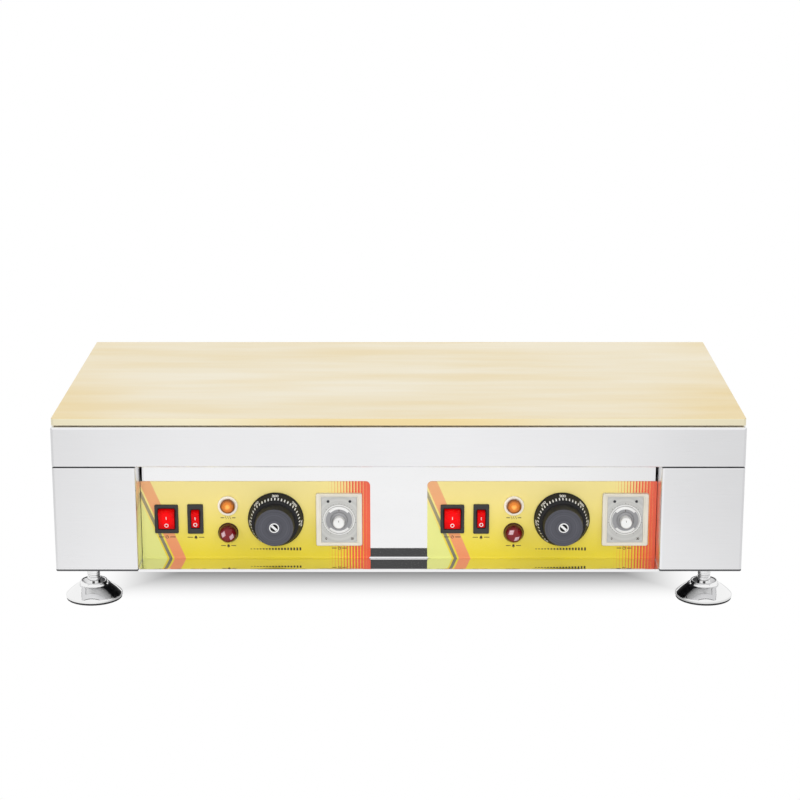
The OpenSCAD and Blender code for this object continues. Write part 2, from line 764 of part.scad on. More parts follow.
module rear_cover() {
    half_w = x_post - sheet_gap;
    color("lightgray") difference() {
        block([-half_w, half_w], [y_cover_in, y_rear], z_cover);
        for (s = sides) {
            rod_y(s * gland_x, [y_cover_in - cut, y_rear + cut], z_gland, gland_thread_d + 2 * hole_gap);
            plate_xz([y_cover_in - cut, y_rear + cut])
                translate([s * vent_x, (z_cover[0] + z_cover[1]) / 2]) slot_row(vent_l);
        }
        for (p = rear_screw_points)
            rod_y(p[0], [y_cover_in - cut, y_rear + cut], p[1], screw_d + 2 * hole_gap);
    }
}

// Overlay outline: square at the post, rounded at its free end
module overlay_outline(side) {
    x = overlay_x(side);
    z = [z_ledge + overlay_lift, z_ledge + overlay_lift + overlay_h];
    square_end = side == left ? [x[0], x[1] - 2 * overlay_r] : [x[0] + 2 * overlay_r, x[1]];
    rounded(x, z, overlay_r, overlay_r);
    translate([square_end[0], z[0]]) square([span(square_end), span(z)]);
}

module overlay(side) {
    color("gold") difference() {
        plate_xz([y_face, y_panel]) overlay_outline(side);
        control_openings(side);
    }
}

// Rocker switch body with bezel, pocket, pivot bores and tabs
module switch_body(x, bezel_w, bezel_h, open_w, open_h) {
    difference() {
        union() {
            plate_xz([y_bezel, y_face])
                rounded(around(x, bezel_w), around(z_control, bezel_h), bezel_r, bezel_r);
            block(around(x, open_w + 2 * switch_wall), [y_face, y_switch_back],
                around(z_control, open_h + 2 * switch_wall));
            for (i = [-1 : 1])
                block(around(x, tab_w), [y_switch_back, y_tab], around(z_control + i * tab_pitch, tab_t));
        }
        block(around(x, open_w), [y_bezel - cut, y_bezel + pocket_d], around(z_control, open_h));
        rod_x(around(x, open_w + 2 * trunnion_l + 2 * hole_gap), y_pivot, z_control,
            2 * (trunnion_r + run_gap));
    }
}

module power_switch(side) {
    color("black")
        switch_body(control_x(side, power_x), power_bezel_w, power_bezel_h, power_open_w, power_open_h);
}

module alarm_switch(side) {
    color("black")
        switch_body(control_x(side, alarm_x), alarm_bezel_w, alarm_bezel_h, alarm_open_w, alarm_open_h);
}

// Rocker in its off position, with its upper half standing out
module rocker(x, open_w, open_h) {
    r = open_h / 2 - move_gap;
    face = -rocker_rise - r * tan(rocker_tilt);
    width = open_w - 2 * move_gap;
    translate([x, y_pivot, z_control]) rotate([rocker_tilt, 0, 0]) {
        translate([-width / 2, 0, 0]) rotate([90, 0, 90]) linear_extrude(width) intersection() {
            circle(r);
            polygon([[rocker_back, -r], [rocker_back, r], [face, r], [-rocker_rise, 0], [face, -r]]);
        }
        rod_x(around(0, open_w + 2 * trunnion_l), 0, 0, 2 * trunnion_r);
    }
}

module power_rocker(side) {
    color("crimson") rocker(control_x(side, power_x), power_open_w, power_open_h);
}

module alarm_rocker(side) {
    color("crimson") rocker(control_x(side, alarm_x), alarm_open_w, alarm_open_h);
}

// Lamp holder: barrel, flange and a sunk seat for the lens
module lamp_holder(x, z, flange_d, flange_t, lens_d) {
    bore_r = barrel_d / 2 - barrel_wall;
    seat_r = lens_d / 2 + hole_gap;
    turned_out(x, y_face, z, [
        [bore_r, -barrel_l], [barrel_d / 2, -barrel_l], [barrel_d / 2, 0], [flange_d / 2, 0],
        [flange_d / 2, flange_t - lens_sink / 2], [flange_d / 2 - lens_sink / 2, flange_t],
        [seat_r, flange_t], [seat_r, flange_t - lens_sink], [bore_r, flange_t - lens_sink]
    ]);
}

// Lamp lens: stem, seat and domed front
module lamp_lens(x, z, flange_t, lens_d, lens_out, straight) {
    stem_r = barrel_d / 2 - barrel_wall - run_gap;
    seat = flange_t - lens_sink;
    turned_out(x, y_face, z, concat(
        [[0, -lens_stem], [stem_r, -lens_stem], [stem_r, seat], [lens_d / 2, seat]],
        dome(lens_d / 2, seat + straight, lens_out)
    ));
}

module heat_lamp_holders() {
    color("ivory") for (s = sides)
        lamp_holder(control_x(s, lamp_x), z_heat_lamp, heat_ring_d, heat_ring_t, heat_lens_d);
}

module heat_lamp_lens(side) {
    color("orange") lamp_lens(control_x(side, lamp_x), z_heat_lamp, heat_ring_t, heat_lens_d,
        heat_lens_out, 2 * lens_sink);
}

module alarm_lamp_holders() {
    color("black") for (s = sides)
        lamp_holder(control_x(s, lamp_x), z_alarm_lamp, alarm_base_d, alarm_base_t, alarm_lens_d);
}

module alarm_lamp_lens(side) {
    color("maroon") lamp_lens(control_x(side, lamp_x), z_alarm_lamp, alarm_base_t, alarm_lens_d,
        alarm_lens_out, alarm_lens_out / 2);
}

module temperature_knob(side) {
    bore_r = shaft_d / 2 + run_gap;
    seat_r = cap_d / 2 + run_gap;
    front_r = grip_front_d / 2;
    color("black") turned_out(control_x(side, dial_x), y_dial, z_control, concat(
        [[bore_r, 0], [skirt_d / 2, 0], [skirt_d / 2, skirt_t / 2], [skirt_d / 2 - skirt_t / 2, skirt_t]],
        [[grip_d / 2, skirt_t]],
        arc(front_r - grip_round, dial_l - grip_round, grip_round, 0, 90),
        [[seat_r, dial_l], [seat_r, dial_l - cap_t], [bore_r, dial_l - cap_t]]
    ));
}

// Metal cap: a rim and a bar, with two hollows between them
module knob_cap(side) {
    x = control_x(side, dial_x);
    color("silver") difference() {
        rod_y(x, [y_dial_front, y_dial_front + cap_t], z_control, cap_d);
        difference() {
            rod_y(x, [y_dial_front - cut, y_dial_front + cap_sink], z_control, cap_d - 2 * cap_rim);
            translate([x, 0, z_control]) rotate([0, cap_turn, 0])
                block([-cap_d, cap_d], [y_dial_front - 2 * cut, y_dial_front + 2 * cap_sink],
                    around(0, cap_bar));
        }
    }
}

module thermostat(side) {
    x = control_x(side, dial_x);
    bush_front = y_dial + dial_gap / 2;
    color("slategray") difference() {
        union() {
            block(around(x, thermostat_w), [y_panel_back, y_thermostat], around(z_control, thermostat_h));
            rod_y(x, [bush_front, y_panel_back + sheet], z_control, bush_d);
        }
        rod_y(x, [bush_front - cut, y_panel_back + shaft_depth], z_control, shaft_d + 2 * run_gap);
    }
}

module thermostat_shaft(side) {
    color("silver") rod_y(control_x(side, dial_x),
        [y_dial_front + cap_t + seat_gap, y_panel_back + shaft_depth - move_gap], z_control, shaft_d);
}

module sensor_bulbs() {
    color("peru") for (s = sides) {
        x = s * x_capillary;
        x_end = control_x(s, dial_x);
        y_end = (y_panel_back + y_thermostat) / 2;
        handed(-s) rod_x([x_capillary, x_capillary + bulb_l], 0, z_bulb, bulb_d);
        bent_rod([[x + s * bulb_d, 0, z_bulb], [x + s * bulb_d, 0, z_capillary], [x_end, 0, z_capillary],
            [x_end, y_end, z_capillary], [x_end, y_end, z_control + thermostat_h / 2]], capillary_d);
    }
}

module timer_frame(side) {
    x = control_x(side, timer_x);
    window_w = timer_face_w + 2 * hole_gap;
    window_h = timer_face_h + 2 * hole_gap;
    y_frame = y_face - timer_frame_t;
    color("ivory") difference() {
        plate_xz([y_frame, y_face])
            rounded(around(x, timer_w), around(z_control, timer_h), timer_frame_r, timer_frame_r);
        block(around(x, window_w), [y_frame - cut, y_face + cut], around(z_control, window_h));
        block(around(x, window_w + 2 * timer_step_w), [y_frame - cut, y_frame + timer_step_t],
            around(z_control, window_h + 2 * timer_step_w));
    }
}

module timer_case(side) {
    x = control_x(side, timer_x);
    color("darkgray") difference() {
        union() {
            block(around(x, timer_face_w), [y_timer_face, y_face], around(z_control, timer_face_h));
            block(around(x, timer_body_w), [y_face, y_timer_back], around(z_control, timer_body_h));
            difference() {
                rod_y(x, [y_timer_face - timer_ring_t, y_face], z_control, timer_ring_d + 2 * timer_ring_w);
                rod_y(x, [y_timer_face - cut, y_timer_face], z_control, timer_ring_d);
            }
        }
        rod_y(x, [y_timer_face - cut, y_timer_face + timer_shaft_l], z_control,
            timer_shaft_d + 2 * run_gap);
    }
}

module timer_dial(side) {
    disc_low = move_gap;
    disc_high = disc_low + disc_t;
    root_r = knob_d / 2 + hub_h / 2;
    color("white") turned_out(control_x(side, timer_x), y_timer_face, z_control, concat(
        [[0, -timer_shaft_l + move_gap], [timer_shaft_d / 2, -timer_shaft_l + move_gap]],
        [[timer_shaft_d / 2, disc_low], [disc_d / 2, disc_low], [disc_d / 2, disc_low + disc_t / 2]],
        [[disc_d / 2 - disc_t / 2, disc_high], [hub_d / 2, disc_high], [root_r, disc_high + hub_h / 2]],
        [[knob_d / 2, disc_high + hub_h], [knob_d / 2, knob_l - edge_r], [knob_d / 2 - edge_r / 2, knob_l]],
        [[0, knob_l]]
    ));
}

// Heating tube: straight runs joined by half turns, with both ends bent down
module heating_element(side) {
    run_y = [for (i = [0 : element_runs - 1]) -y_run + i * run_pitch];
    color("dimgray") handed(-side) {
        for (y = run_y) rod_x(around(x_zone, 2 * run_half), y, z_element, element_d);
        for (i = [0 : element_runs - 2]) {
            e = i % 2 == 0 ? 1 : -1;
            translate([x_zone + e * run_half, run_y[i] + run_pitch / 2, z_element]) rotate([0, 0, -90 * e])
                rotate_extrude(angle = 180) translate([run_pitch / 2, 0]) circle(d = element_d);
        }
        for (y = [run_y[0], run_y[element_runs - 1]]) {
            translate([x_leg, y, z_element]) sphere(d = element_d);
            rod_z(x_leg, y, [z_leg, z_element], element_d);
        }
    }
}

module clamp_bars() {
    color("silver") difference() {
        for (s = sides, e = sides)
            block(around(s * x_zone + e * run_half / 2, bar_w), around(0, 2 * (y_run + bar_reach)),
                [z_bar - bar_t, z_bar]);
        holes_z(bar_stud_points, [z_bar - bar_t - cut, z_bar + cut], stud_d + 2 * hole_gap);
    }
}

// Holes for the tube ends and the capillaries
module service_holes(z) {
    holes_z(leg_points, z, element_d + 4 * hole_gap);
    for (s = sides) rod_z(s * (x_capillary + bulb_d), 0, z, capillary_d + 4 * hole_gap);
}

module insulation_mat() {
    half_w = x_tray - tray_t - sheet_gap;
    half_d = y_tray - tray_t - sheet_gap;
    color("wheat") difference() {
        block([-half_w, half_w], [-half_d, half_d], [z_mat, z_mat + mat_t]);
        service_holes([z_mat - cut, z_mat + mat_t + cut]);
    }
}

module insulation_tray() {
    flange_w = x_side - 2 * sheet;
    flange_d = body_d / 2 - 2 * sheet;
    inner_w = x_tray - tray_t;
    inner_d = y_tray - tray_t;
    z_flange = z_tray_flange + tray_t;
    color("gray") difference() {
        union() {
            block([-x_tray, x_tray], [-y_tray, y_tray], [z_tray, z_flange]);
            block([-flange_w, flange_w], [-flange_d, flange_d], [z_tray_flange, z_flange]);
        }
        block([-inner_w, inner_w], [-inner_d, inner_d], [z_mat, z_flange + cut]);
        holes_z(rim_stud_points, [z_tray_flange - cut, z_flange + cut], stud_d + 2 * hole_gap);
        service_holes([z_tray - cut, z_mat + cut]);
    }
}

// Foot pad: bell with a straight rim, a ringed collar and a pocket for the stem's head
module foot_pad(side, end) {
    slope = [for (i = [0 : arc_steps]) let (t = i / arc_steps)
        [pad_d / 2 + (collar_d - pad_d) / 2 * t,
         pad_rim + (pad_h - pad_rim) * t - pad_hollow * sin(180 * t)]];
    ring_r = collar_d / 2 - collar_ring;
    translate([side * (x_side - foot_inset_x), end * (body_d / 2 - foot_inset_y), 0])
    color("whitesmoke") difference() {
        rotate_extrude() polygon(concat(
            [[0, 0], [pad_d / 2 - sheet, 0], [pad_d / 2, sheet]],
            slope,
            [[ring_r, pad_h], [ring_r, pad_h - collar_sink], [0, pad_h - collar_sink]]
        ));
        rod_z(0, 0, [stem_head_z - run_gap, stem_head_z + stem_head_t + run_gap], stem_head_d + 2 * run_gap);
        rod_z(0, 0, [stem_head_z, pad_h + cut], stem_d + 2 * run_gap);
    }
}

// Foot stem: threaded rod with a head that turns in the pad
module foot_stem(side, end) {
    z_stem = z_ledge + stem_over;
    tip = stem_d / 8;
    translate([side * (x_side - foot_inset_x), end * (body_d / 2 - foot_inset_y), 0])
    color("silver") {
        rod_z(0, 0, [stem_head_z, stem_head_z + stem_head_t], stem_head_d);
        rod_z(0, 0, [stem_head_z, z_stem - tip], stem_d);
        translate([0, 0, z_stem - tip]) cylinder(h = tip, d1 = stem_d, d2 = stem_d - 2 * tip);
    }
}

module foot_nuts() {
    color("silver") for (p = foot_points) {
        difference() {
            rod_z(p[0], p[1], [z_ledge, z_ledge + weld_nut_h], weld_nut_d);
            rod_z(p[0], p[1], [z_ledge - cut, z_ledge + weld_nut_h + cut], stem_d + 2 * run_gap);
        }
        difference() {
            hexagon_z(p[0], p[1], [z_pan - lock_nut_h, z_pan], lock_nut_af);
            rod_z(p[0], p[1], [z_pan - lock_nut_h - cut, z_pan + cut], stem_d + 2 * run_gap);
        }
    }
}

// Cable gland: hexagon and cap outside, thread through the cover, lock nut inside
module cable_glands() {
    color("black") for (s = sides) {
        x = s * gland_x;
        difference() {
            union() {
                hexagon_y(x, [y_rear, y_rear + gland_hex_t], z_gland, gland_af);
                rod_y(x, [y_rear, y_rear + gland_out], z_gland, gland_cap_d);
                rod_y(x, [y_cover_in - gland_in, y_rear], z_gland, gland_thread_d);
            }
            rod_y(x, [y_cover_in - gland_in - cut, y_rear + gland_out + cut], z_gland, gland_bore_d);
        }
        difference() {
            hexagon_y(x, [y_cover_in - gland_nut_t, y_cover_in], z_gland, gland_af);
            rod_y(x, [y_cover_in - gland_nut_t - cut, y_cover_in + cut], z_gland,
                gland_thread_d + 2 * run_gap);
        }
    }
}

module terminal_blocks() {
    color("ivory") for (s = sides)
        block(around(s * gland_x, block_w), around(y_block, block_d), [z_ledge, z_ledge + block_h]);
}

// Wires of one side, each on its own run behind the controls
module side_wires(side) {
    power = control_x(side, power_x);
    alarm = control_x(side, alarm_x);
    lamp = control_x(side, lamp_x);
    dial = control_x(side, dial_x);
    timer = control_x(side, timer_x);
    supply = side * gland_x;
    leg = side * x_leg;
    z_upper = z_control + tab_pitch;
    z_lower = z_control - tab_pitch;
    z_block = z_ledge + block_h / 2;
    y_block_front = y_block - block_d / 2;
    z_lead = z_capillary - leg_drop;
    bent_rod([[supply, y_block_front, z_block], [supply, y_runs[5], z_block], [power, y_runs[5], z_block],
        [power, y_runs[5], z_control], [power, y_tab, z_control]], wire_d);
    bent_rod([[power, y_tab, z_upper], [power, y_runs[1], z_upper], [dial, y_runs[1], z_upper],
        [dial, y_thermostat, z_upper]], wire_d);
    bent_rod([[dial, y_thermostat, z_lower], [dial, y_runs[2], z_lower], [dial, y_runs[2], z_lead],
        [leg, y_runs[2], z_lead], [leg, -y_run, z_lead], [leg, -y_run, z_leg]], wire_d);
    bent_rod([[supply, y_block, z_ledge + block_h], [supply, y_block, z_lead - wire_step],
        [leg, y_block, z_lead - wire_step], [leg, y_run, z_lead - wire_step], [leg, y_run, z_leg]], wire_d);
    bent_rod([[alarm, y_tab, z_control], [alarm, y_runs[4], z_control], [timer, y_runs[4], z_control],
        [timer, y_timer_back, z_control]], wire_d);
    bent_rod([[lamp, y_barrel, z_alarm_lamp], [lamp, y_runs[3], z_alarm_lamp],
        [timer - wire_step, y_runs[3], z_alarm_lamp], [timer - wire_step, y_timer_back, z_alarm_lamp]], wire_d);
    bent_rod([[lamp, y_barrel, z_heat_lamp], [lamp, y_runs[0], z_heat_lamp],
        [dial, y_runs[0], z_heat_lamp], [dial, y_thermostat, z_heat_lamp]], wire_d);
}

module wiring() {
    color("firebrick") for (s = sides) side_wires(s);
}

// Screw along +Z from the underside of its head
module screw() {
    cylinder(h = 2 * sheet + screw_out, d = screw_d);
    translate([0, 0, -screw_head_h]) cylinder(h = screw_head_h, d = screw_head_d);
}

module casing_screws() {
    color("silver") {
        for (p = pan_screw_points) translate([p[0], p[1], z_body]) screw();
        for (p = concat(band_screw_points, panel_screw_points))
            translate([p[0], p[1], z_band - sheet]) screw();
        for (p = rear_screw_points) translate([p[0], y_rear, p[1]]) rotate([90, 0, 0]) screw();
    }
}

cooking_plate();
plate_gasket();
plate_studs();
plate_nuts();
rim_band();
casing(left);  // left_casing
casing(right);  // right_casing
base_pan();
control_panel();
rear_cover();
overlay(left);  // left_overlay
overlay(right);  // right_overlay
power_switch(left);  // left_power_switch
power_switch(right);  // right_power_switch
power_rocker(left);  // left_power_rocker
power_rocker(right);  // right_power_rocker
alarm_switch(left);  // left_alarm_switch
alarm_switch(right);  // right_alarm_switch
alarm_rocker(left);  // left_alarm_rocker
alarm_rocker(right);  // right_alarm_rocker
heat_lamp_holders();
heat_lamp_lens(left);  // left_heat_lamp_lens
heat_lamp_lens(right);  // right_heat_lamp_lens
alarm_lamp_holders();
alarm_lamp_lens(left);  // left_alarm_lamp_lens
alarm_lamp_lens(right);  // right_alarm_lamp_lens
temperature_knob(left);  // left_temperature_knob
temperature_knob(right);  // right_temperature_knob
knob_cap(left);  // left_knob_cap
knob_cap(right);  // right_knob_cap
thermostat(left);  // left_thermostat
thermostat(right);  // right_thermostat
thermostat_shaft(left);  // left_thermostat_shaft
thermostat_shaft(right);  // right_thermostat_shaft
sensor_bulbs();
timer_frame(left);  // left_timer_frame
timer_frame(right);  // right_timer_frame
timer_case(left);  // left_timer_case
timer_case(right);  // right_timer_case
timer_dial(left);  // left_timer_dial
timer_dial(right);  // right_timer_dial
heating_element(left);  // left_heating_element
heating_element(right);  // right_heating_element
clamp_bars();
insulation_mat();
insulation_tray();
foot_pad(left, front);  // front_left_foot_pad
foot_pad(right, front);  // front_right_foot_pad
foot_pad(left, rear);  // rear_left_foot_pad
foot_pad(right, rear);  // rear_right_foot_pad
foot_stem(left, front);  // front_left_foot_stem
foot_stem(right, front);  // front_right_foot_stem
foot_stem(left, rear);  // rear_left_foot_stem
foot_stem(right, rear);  // rear_right_foot_stem
foot_nuts();
cable_glands();
terminal_blocks();
wiring();
casing_screws();
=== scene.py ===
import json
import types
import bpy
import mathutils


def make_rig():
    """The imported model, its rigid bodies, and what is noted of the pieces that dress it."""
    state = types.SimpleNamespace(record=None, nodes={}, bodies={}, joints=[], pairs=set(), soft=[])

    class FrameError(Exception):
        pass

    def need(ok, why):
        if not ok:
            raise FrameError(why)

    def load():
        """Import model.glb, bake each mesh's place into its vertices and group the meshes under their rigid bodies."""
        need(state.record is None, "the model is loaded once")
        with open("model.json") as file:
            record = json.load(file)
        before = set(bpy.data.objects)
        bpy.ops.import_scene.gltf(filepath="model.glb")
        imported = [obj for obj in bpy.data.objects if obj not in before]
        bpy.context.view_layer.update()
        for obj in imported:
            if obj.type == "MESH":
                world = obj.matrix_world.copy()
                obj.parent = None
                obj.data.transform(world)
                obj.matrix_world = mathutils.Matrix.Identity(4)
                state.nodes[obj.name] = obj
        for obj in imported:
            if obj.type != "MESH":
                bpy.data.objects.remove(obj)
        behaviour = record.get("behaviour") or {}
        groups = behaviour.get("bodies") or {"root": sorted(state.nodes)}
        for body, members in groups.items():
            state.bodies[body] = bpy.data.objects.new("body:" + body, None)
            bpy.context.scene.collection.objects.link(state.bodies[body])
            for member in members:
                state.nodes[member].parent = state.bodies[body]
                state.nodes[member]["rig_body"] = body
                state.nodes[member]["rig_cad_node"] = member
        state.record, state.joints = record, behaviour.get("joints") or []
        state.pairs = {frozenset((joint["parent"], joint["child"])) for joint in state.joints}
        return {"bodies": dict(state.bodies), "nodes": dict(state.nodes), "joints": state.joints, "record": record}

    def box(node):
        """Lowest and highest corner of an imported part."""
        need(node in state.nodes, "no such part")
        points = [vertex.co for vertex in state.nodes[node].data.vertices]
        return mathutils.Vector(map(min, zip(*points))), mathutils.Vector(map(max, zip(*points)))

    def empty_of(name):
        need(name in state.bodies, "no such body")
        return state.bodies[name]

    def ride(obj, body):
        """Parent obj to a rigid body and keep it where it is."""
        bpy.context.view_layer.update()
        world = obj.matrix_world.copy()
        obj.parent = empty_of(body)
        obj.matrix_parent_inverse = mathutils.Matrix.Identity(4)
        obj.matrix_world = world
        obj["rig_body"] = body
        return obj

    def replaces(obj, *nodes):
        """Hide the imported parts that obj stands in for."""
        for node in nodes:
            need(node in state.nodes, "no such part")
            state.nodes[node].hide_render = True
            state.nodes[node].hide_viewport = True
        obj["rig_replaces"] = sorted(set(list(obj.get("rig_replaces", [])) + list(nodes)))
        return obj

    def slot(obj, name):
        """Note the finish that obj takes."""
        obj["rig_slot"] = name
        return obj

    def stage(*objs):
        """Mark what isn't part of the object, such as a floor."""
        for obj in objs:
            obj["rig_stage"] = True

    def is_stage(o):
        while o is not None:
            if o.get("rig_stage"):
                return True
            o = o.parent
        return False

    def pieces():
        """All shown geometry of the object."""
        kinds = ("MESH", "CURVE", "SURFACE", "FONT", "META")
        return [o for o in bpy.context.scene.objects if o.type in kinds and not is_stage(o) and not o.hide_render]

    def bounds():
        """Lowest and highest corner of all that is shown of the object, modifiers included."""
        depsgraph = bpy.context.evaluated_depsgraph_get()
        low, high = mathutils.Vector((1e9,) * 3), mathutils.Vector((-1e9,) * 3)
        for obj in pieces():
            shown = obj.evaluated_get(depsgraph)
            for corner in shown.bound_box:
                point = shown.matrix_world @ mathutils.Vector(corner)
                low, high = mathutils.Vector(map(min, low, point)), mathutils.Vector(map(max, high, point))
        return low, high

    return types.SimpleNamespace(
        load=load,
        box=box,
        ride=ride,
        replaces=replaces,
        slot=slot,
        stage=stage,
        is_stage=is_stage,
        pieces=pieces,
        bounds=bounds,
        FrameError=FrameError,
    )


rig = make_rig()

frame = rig.load()
CAD_BOX = [list(corner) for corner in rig.bounds()]

import json
import math

import bmesh
import bpy
from bpy.props import FloatProperty, FloatVectorProperty, IntProperty, PointerProperty
from bpy.types import Operator, Panel, PropertyGroup
from mathutils import Matrix, Vector

bl_info = {
    "name": "Two-zone griddle",
    "version": (1, 0, 0),
    "blender": (4, 5, 0),
    "location": "View3D > Sidebar > Griddle",
    "description": "Finishes, printed marks and fine parts of a two-zone countertop griddle",
    "category": "Object",
}

MM = 0.001  # lengths without it, such as those of outlines and marks, are in millimetres
SIDES = ("left", "right")
FEET = [f"{end}_{side}" for end in ("front", "rear") for side in SIDES]
HALF_W, HALF_D = CAD_BOX[1][:2]
SQUARE = ((-1, -1), (1, -1), (1, 1), (-1, 1))
OUT = Matrix.Rotation(math.radians(90), 4, "X")  # lays a flat mark on a face that looks along -Y


# Settings

def colour(name, description, default):
    """A colour property, in linear values."""
    return FloatVectorProperty(name=name, description=description, default=default,
                               subtype="COLOR", size=3, min=0.0, max=1.0)


def length(name, description, default):
    """A length property, whose default is given in millimetres."""
    return FloatProperty(name=name, description=description, default=default * MM, min=0.0,
                         unit="LENGTH", subtype="DISTANCE", precision=5)


def count(name, description, default, least):
    """A property that counts repeated parts."""
    return IntProperty(name=name, description=description, default=default, min=least)


def number(name, description, default, least=0.0, **kind):
    """A property for any other number."""
    return FloatProperty(name=name, description=description, default=default, min=least, **kind)


class GriddleColours(PropertyGroup):
    """Colours of the visible finishes."""

    brass_pale: colour("Pale brass", "Brass where the plate is worn bright", (0.876, 0.80, 0.617))
    brass_warm: colour("Warm brass", "Brass where heat has toned the plate", (0.85, 0.69, 0.372))
    # partly painted highlight: brighter than the plate's brass
    brass_edge: colour("Brass edge", "Brass at the plate's cut edges", (1.0, 0.92, 0.67))
    steel: colour("Stainless steel", "Satin sheet of the body", (0.90, 0.90, 0.912))
    mirror: colour("Polished steel", "Mirror sheet of the control panel", (0.895, 0.895, 0.90))
    pan_bright: colour("Pan, bright", "Base pan near the body's edges", (0.96, 0.96, 0.965))
    # painted shade: the nearly black middle of the base pan, which the feet mirror
    pan_dull: colour("Pan, dull", "Base pan where heat has dulled it", (0.03, 0.03, 0.034))
    print_top: colour("Print, top", "Yellow at the overlays' upper edge", (0.88, 0.74, 0.27))
    print_low: colour("Print, bottom", "Yellow at the overlays' lower edge", (0.77, 0.62, 0.015))
    print_slate: colour("Print, slate", "Dark band at the overlays' left end", (0.10, 0.10, 0.125))
    print_coral: colour("Print, coral", "Red band at the overlays' left end", (0.80, 0.22, 0.12))
    print_green: colour("Print, green", "Green band at the overlays' left end", (0.72, 0.80, 0.30))
    print_red: colour("Print, red", "Bars at the overlays' right end", (0.80, 0.055, 0.025))
    ink: colour("Ink", "Marks printed under the controls", (0.045, 0.030, 0.012))
    rocker: colour("Rocker", "Red of the rocker switches", (0.74, 0.0012, 0.0025))
    amber: colour("Amber", "Lens of the heat lamps", (0.58, 0.16, 0.012))
    ruby: colour("Ruby", "Lens of the alarm lamps", (0.20, 0.004, 0.008))
    black: colour("Black", "Moulded black plastic", (0.018, 0.018, 0.019))
    dial_face: colour("Dial face", "Turned front of the dials", (0.080, 0.081, 0.098))
    white: colour("White", "White marks, knobs and numerals", (0.80, 0.80, 0.79))
    ivory: colour("Ivory", "Frames of the timers", (0.76, 0.72, 0.62))
    cream: colour("Cream", "Rings of the heat lamps", (0.90, 0.83, 0.70))
    timer_grey: colour("Timer grey", "Painted face of the timers", (0.56, 0.56, 0.54))
    disc_grey: colour("Disc grey", "Turning disc of the timers", (0.33, 0.33, 0.34))
    chrome: colour("Chrome", "Plated feet and dial caps", (0.90, 0.90, 0.90))


class GriddleSizes(PropertyGroup):
    """Sizes of the fine parts that the CAD model leaves plain."""

    mark_t: length("Mark thickness", "Thickness of printed marks", 0.06)
    tick_r: length("Tick radius", "Middle of the dial ticks", 26.1)
    tick_l: length("Tick length", "Length of the dial ticks", 4.4)
    tick_w: length("Tick width", "Width of the dial ticks", 1.25)
    numeral_h: length("Numeral height", "Height of the dial numerals", 3.9)
    numeral_r: length("Numeral radius", "Middle of the dial numerals", 27.8)
    ledge_bend: length("Ledge bend", "Radius of the bend between panel and ledge", 2.1)
    pan_reach: length("Pan border", "Width of the base pan's bright border", 34.0)
    edge: length("Edge rounding", "Rounding of moulded edges", 0.5)
    power_open_w: length("Power opening width", "Opening in the wide bezels", 17.8)
    power_open_h: length("Power opening height", "Opening in the wide bezels", 23.4)
    alarm_open_w: length("Alarm opening width", "Opening in the narrow bezels", 9.0)
    alarm_open_h: length("Alarm opening height", "Opening in the narrow bezels", 20.8)
    window_w: length("Timer window width", "Opening in the timer frames", 38.4)
    window_h: length("Timer window height", "Opening in the timer frames", 51.4)
    thread_pitch: length("Thread pitch", "Pitch of the foot threads", 2.0)
    thread_h: length("Thread height", "Height of the foot threads", 0.40)
    tick_count: count("Dial ticks", "Ticks round each dial", 31, 2)
    timer_ticks: count("Timer ticks", "Ticks round each timer", 31, 2)
    gland_ribs: count("Gland ribs", "Ribs round each gland cap", 24, 3)


class GriddleLight(PropertyGroup):
    """Studio light and camera."""

    ambient: number("Ambient", "Even light from all round", 0.56)
    front: number("Front", "Broad light from the camera's side", 47.5, unit="POWER")
    left: number("Left box", "Softbox at the left", 6.0, unit="POWER")
    right: number("Right box", "Softbox at the right", 5.0, unit="POWER")
    floor_lift: number("Floor lift", "How far the floor's shadow is lightened", 0.0, max=1.0,
                       subtype="FACTOR")
    lens: number("Lens", "Focal length of the camera", 97.376, 1.0, unit="CAMERA")
    tilt: number("Tilt", "How far the camera looks down", 0.2591, -math.pi / 2, unit="ROTATION",
                 subtype="ANGLE")
    place: FloatVectorProperty(name="Camera", description="Where the camera stands",
                               default=(0.0115, -2.3558, 0.8095), subtype="TRANSLATION", unit="LENGTH")


# Small helpers

def settings():
    """The scene's colours, sizes and light."""
    return [getattr(bpy.context.scene, name) for name in GROUPS]


def mm(x=0.0, y=0.0, z=0.0):
    """A vector given in millimetres."""
    return Vector((x, y, z)) * MM


def tinted(base, factor):
    """A colour times a factor."""
    return [min(1.0, c * factor) for c in base]


def circle(steps):
    """Cosine and sine of each step round a circle."""
    return [(math.cos(a), math.sin(a)) for a in (2 * math.pi * k / steps for k in range(steps))]


def both(pattern):
    """A node name for each side."""
    return [pattern.format(side) for side in SIDES]


def middle(node, y=None):
    """Middle of a CAD node's box, brought to a depth if one is given."""
    low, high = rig.box(node)
    spot = (low + high) / 2
    return spot if y is None else Vector((spot.x, y, spot.z))


def half_sizes(node):
    """Half of a CAD node's width and height."""
    low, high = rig.box(node)
    return (high.x - low.x) / 2, (high.z - low.z) / 2


def print_face():
    """Depth of the overlays' printed face."""
    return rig.box("left_overlay")[0].y


def ledge_top():
    """Height of the panel's ledge, below which its lip goes on for 3 mm."""
    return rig.box("control_panel")[0].z + 3.0 * MM


def new_object(name, data):
    """An object that is linked to the scene."""
    made = bpy.data.objects.new(name, data)
    bpy.context.scene.collection.objects.link(made)
    return made


def plain_mesh(carrier):
    """What an object evaluates to, as a mesh; the object goes."""
    mesh = bpy.data.meshes.new_from_object(carrier.evaluated_get(bpy.context.evaluated_depsgraph_get()))
    carrier.modifiers.clear()
    bpy.data.objects.remove(carrier)
    return mesh


def dress(finish, *nodes):
    """Gives CAD nodes a finish and leaves their shape alone."""
    for name in nodes:
        node = frame["nodes"][name]
        if not node.material_slots:
            node.data.materials.append(finish)
        for slot in node.material_slots:
            slot.material = finish


# Node trees and finishes

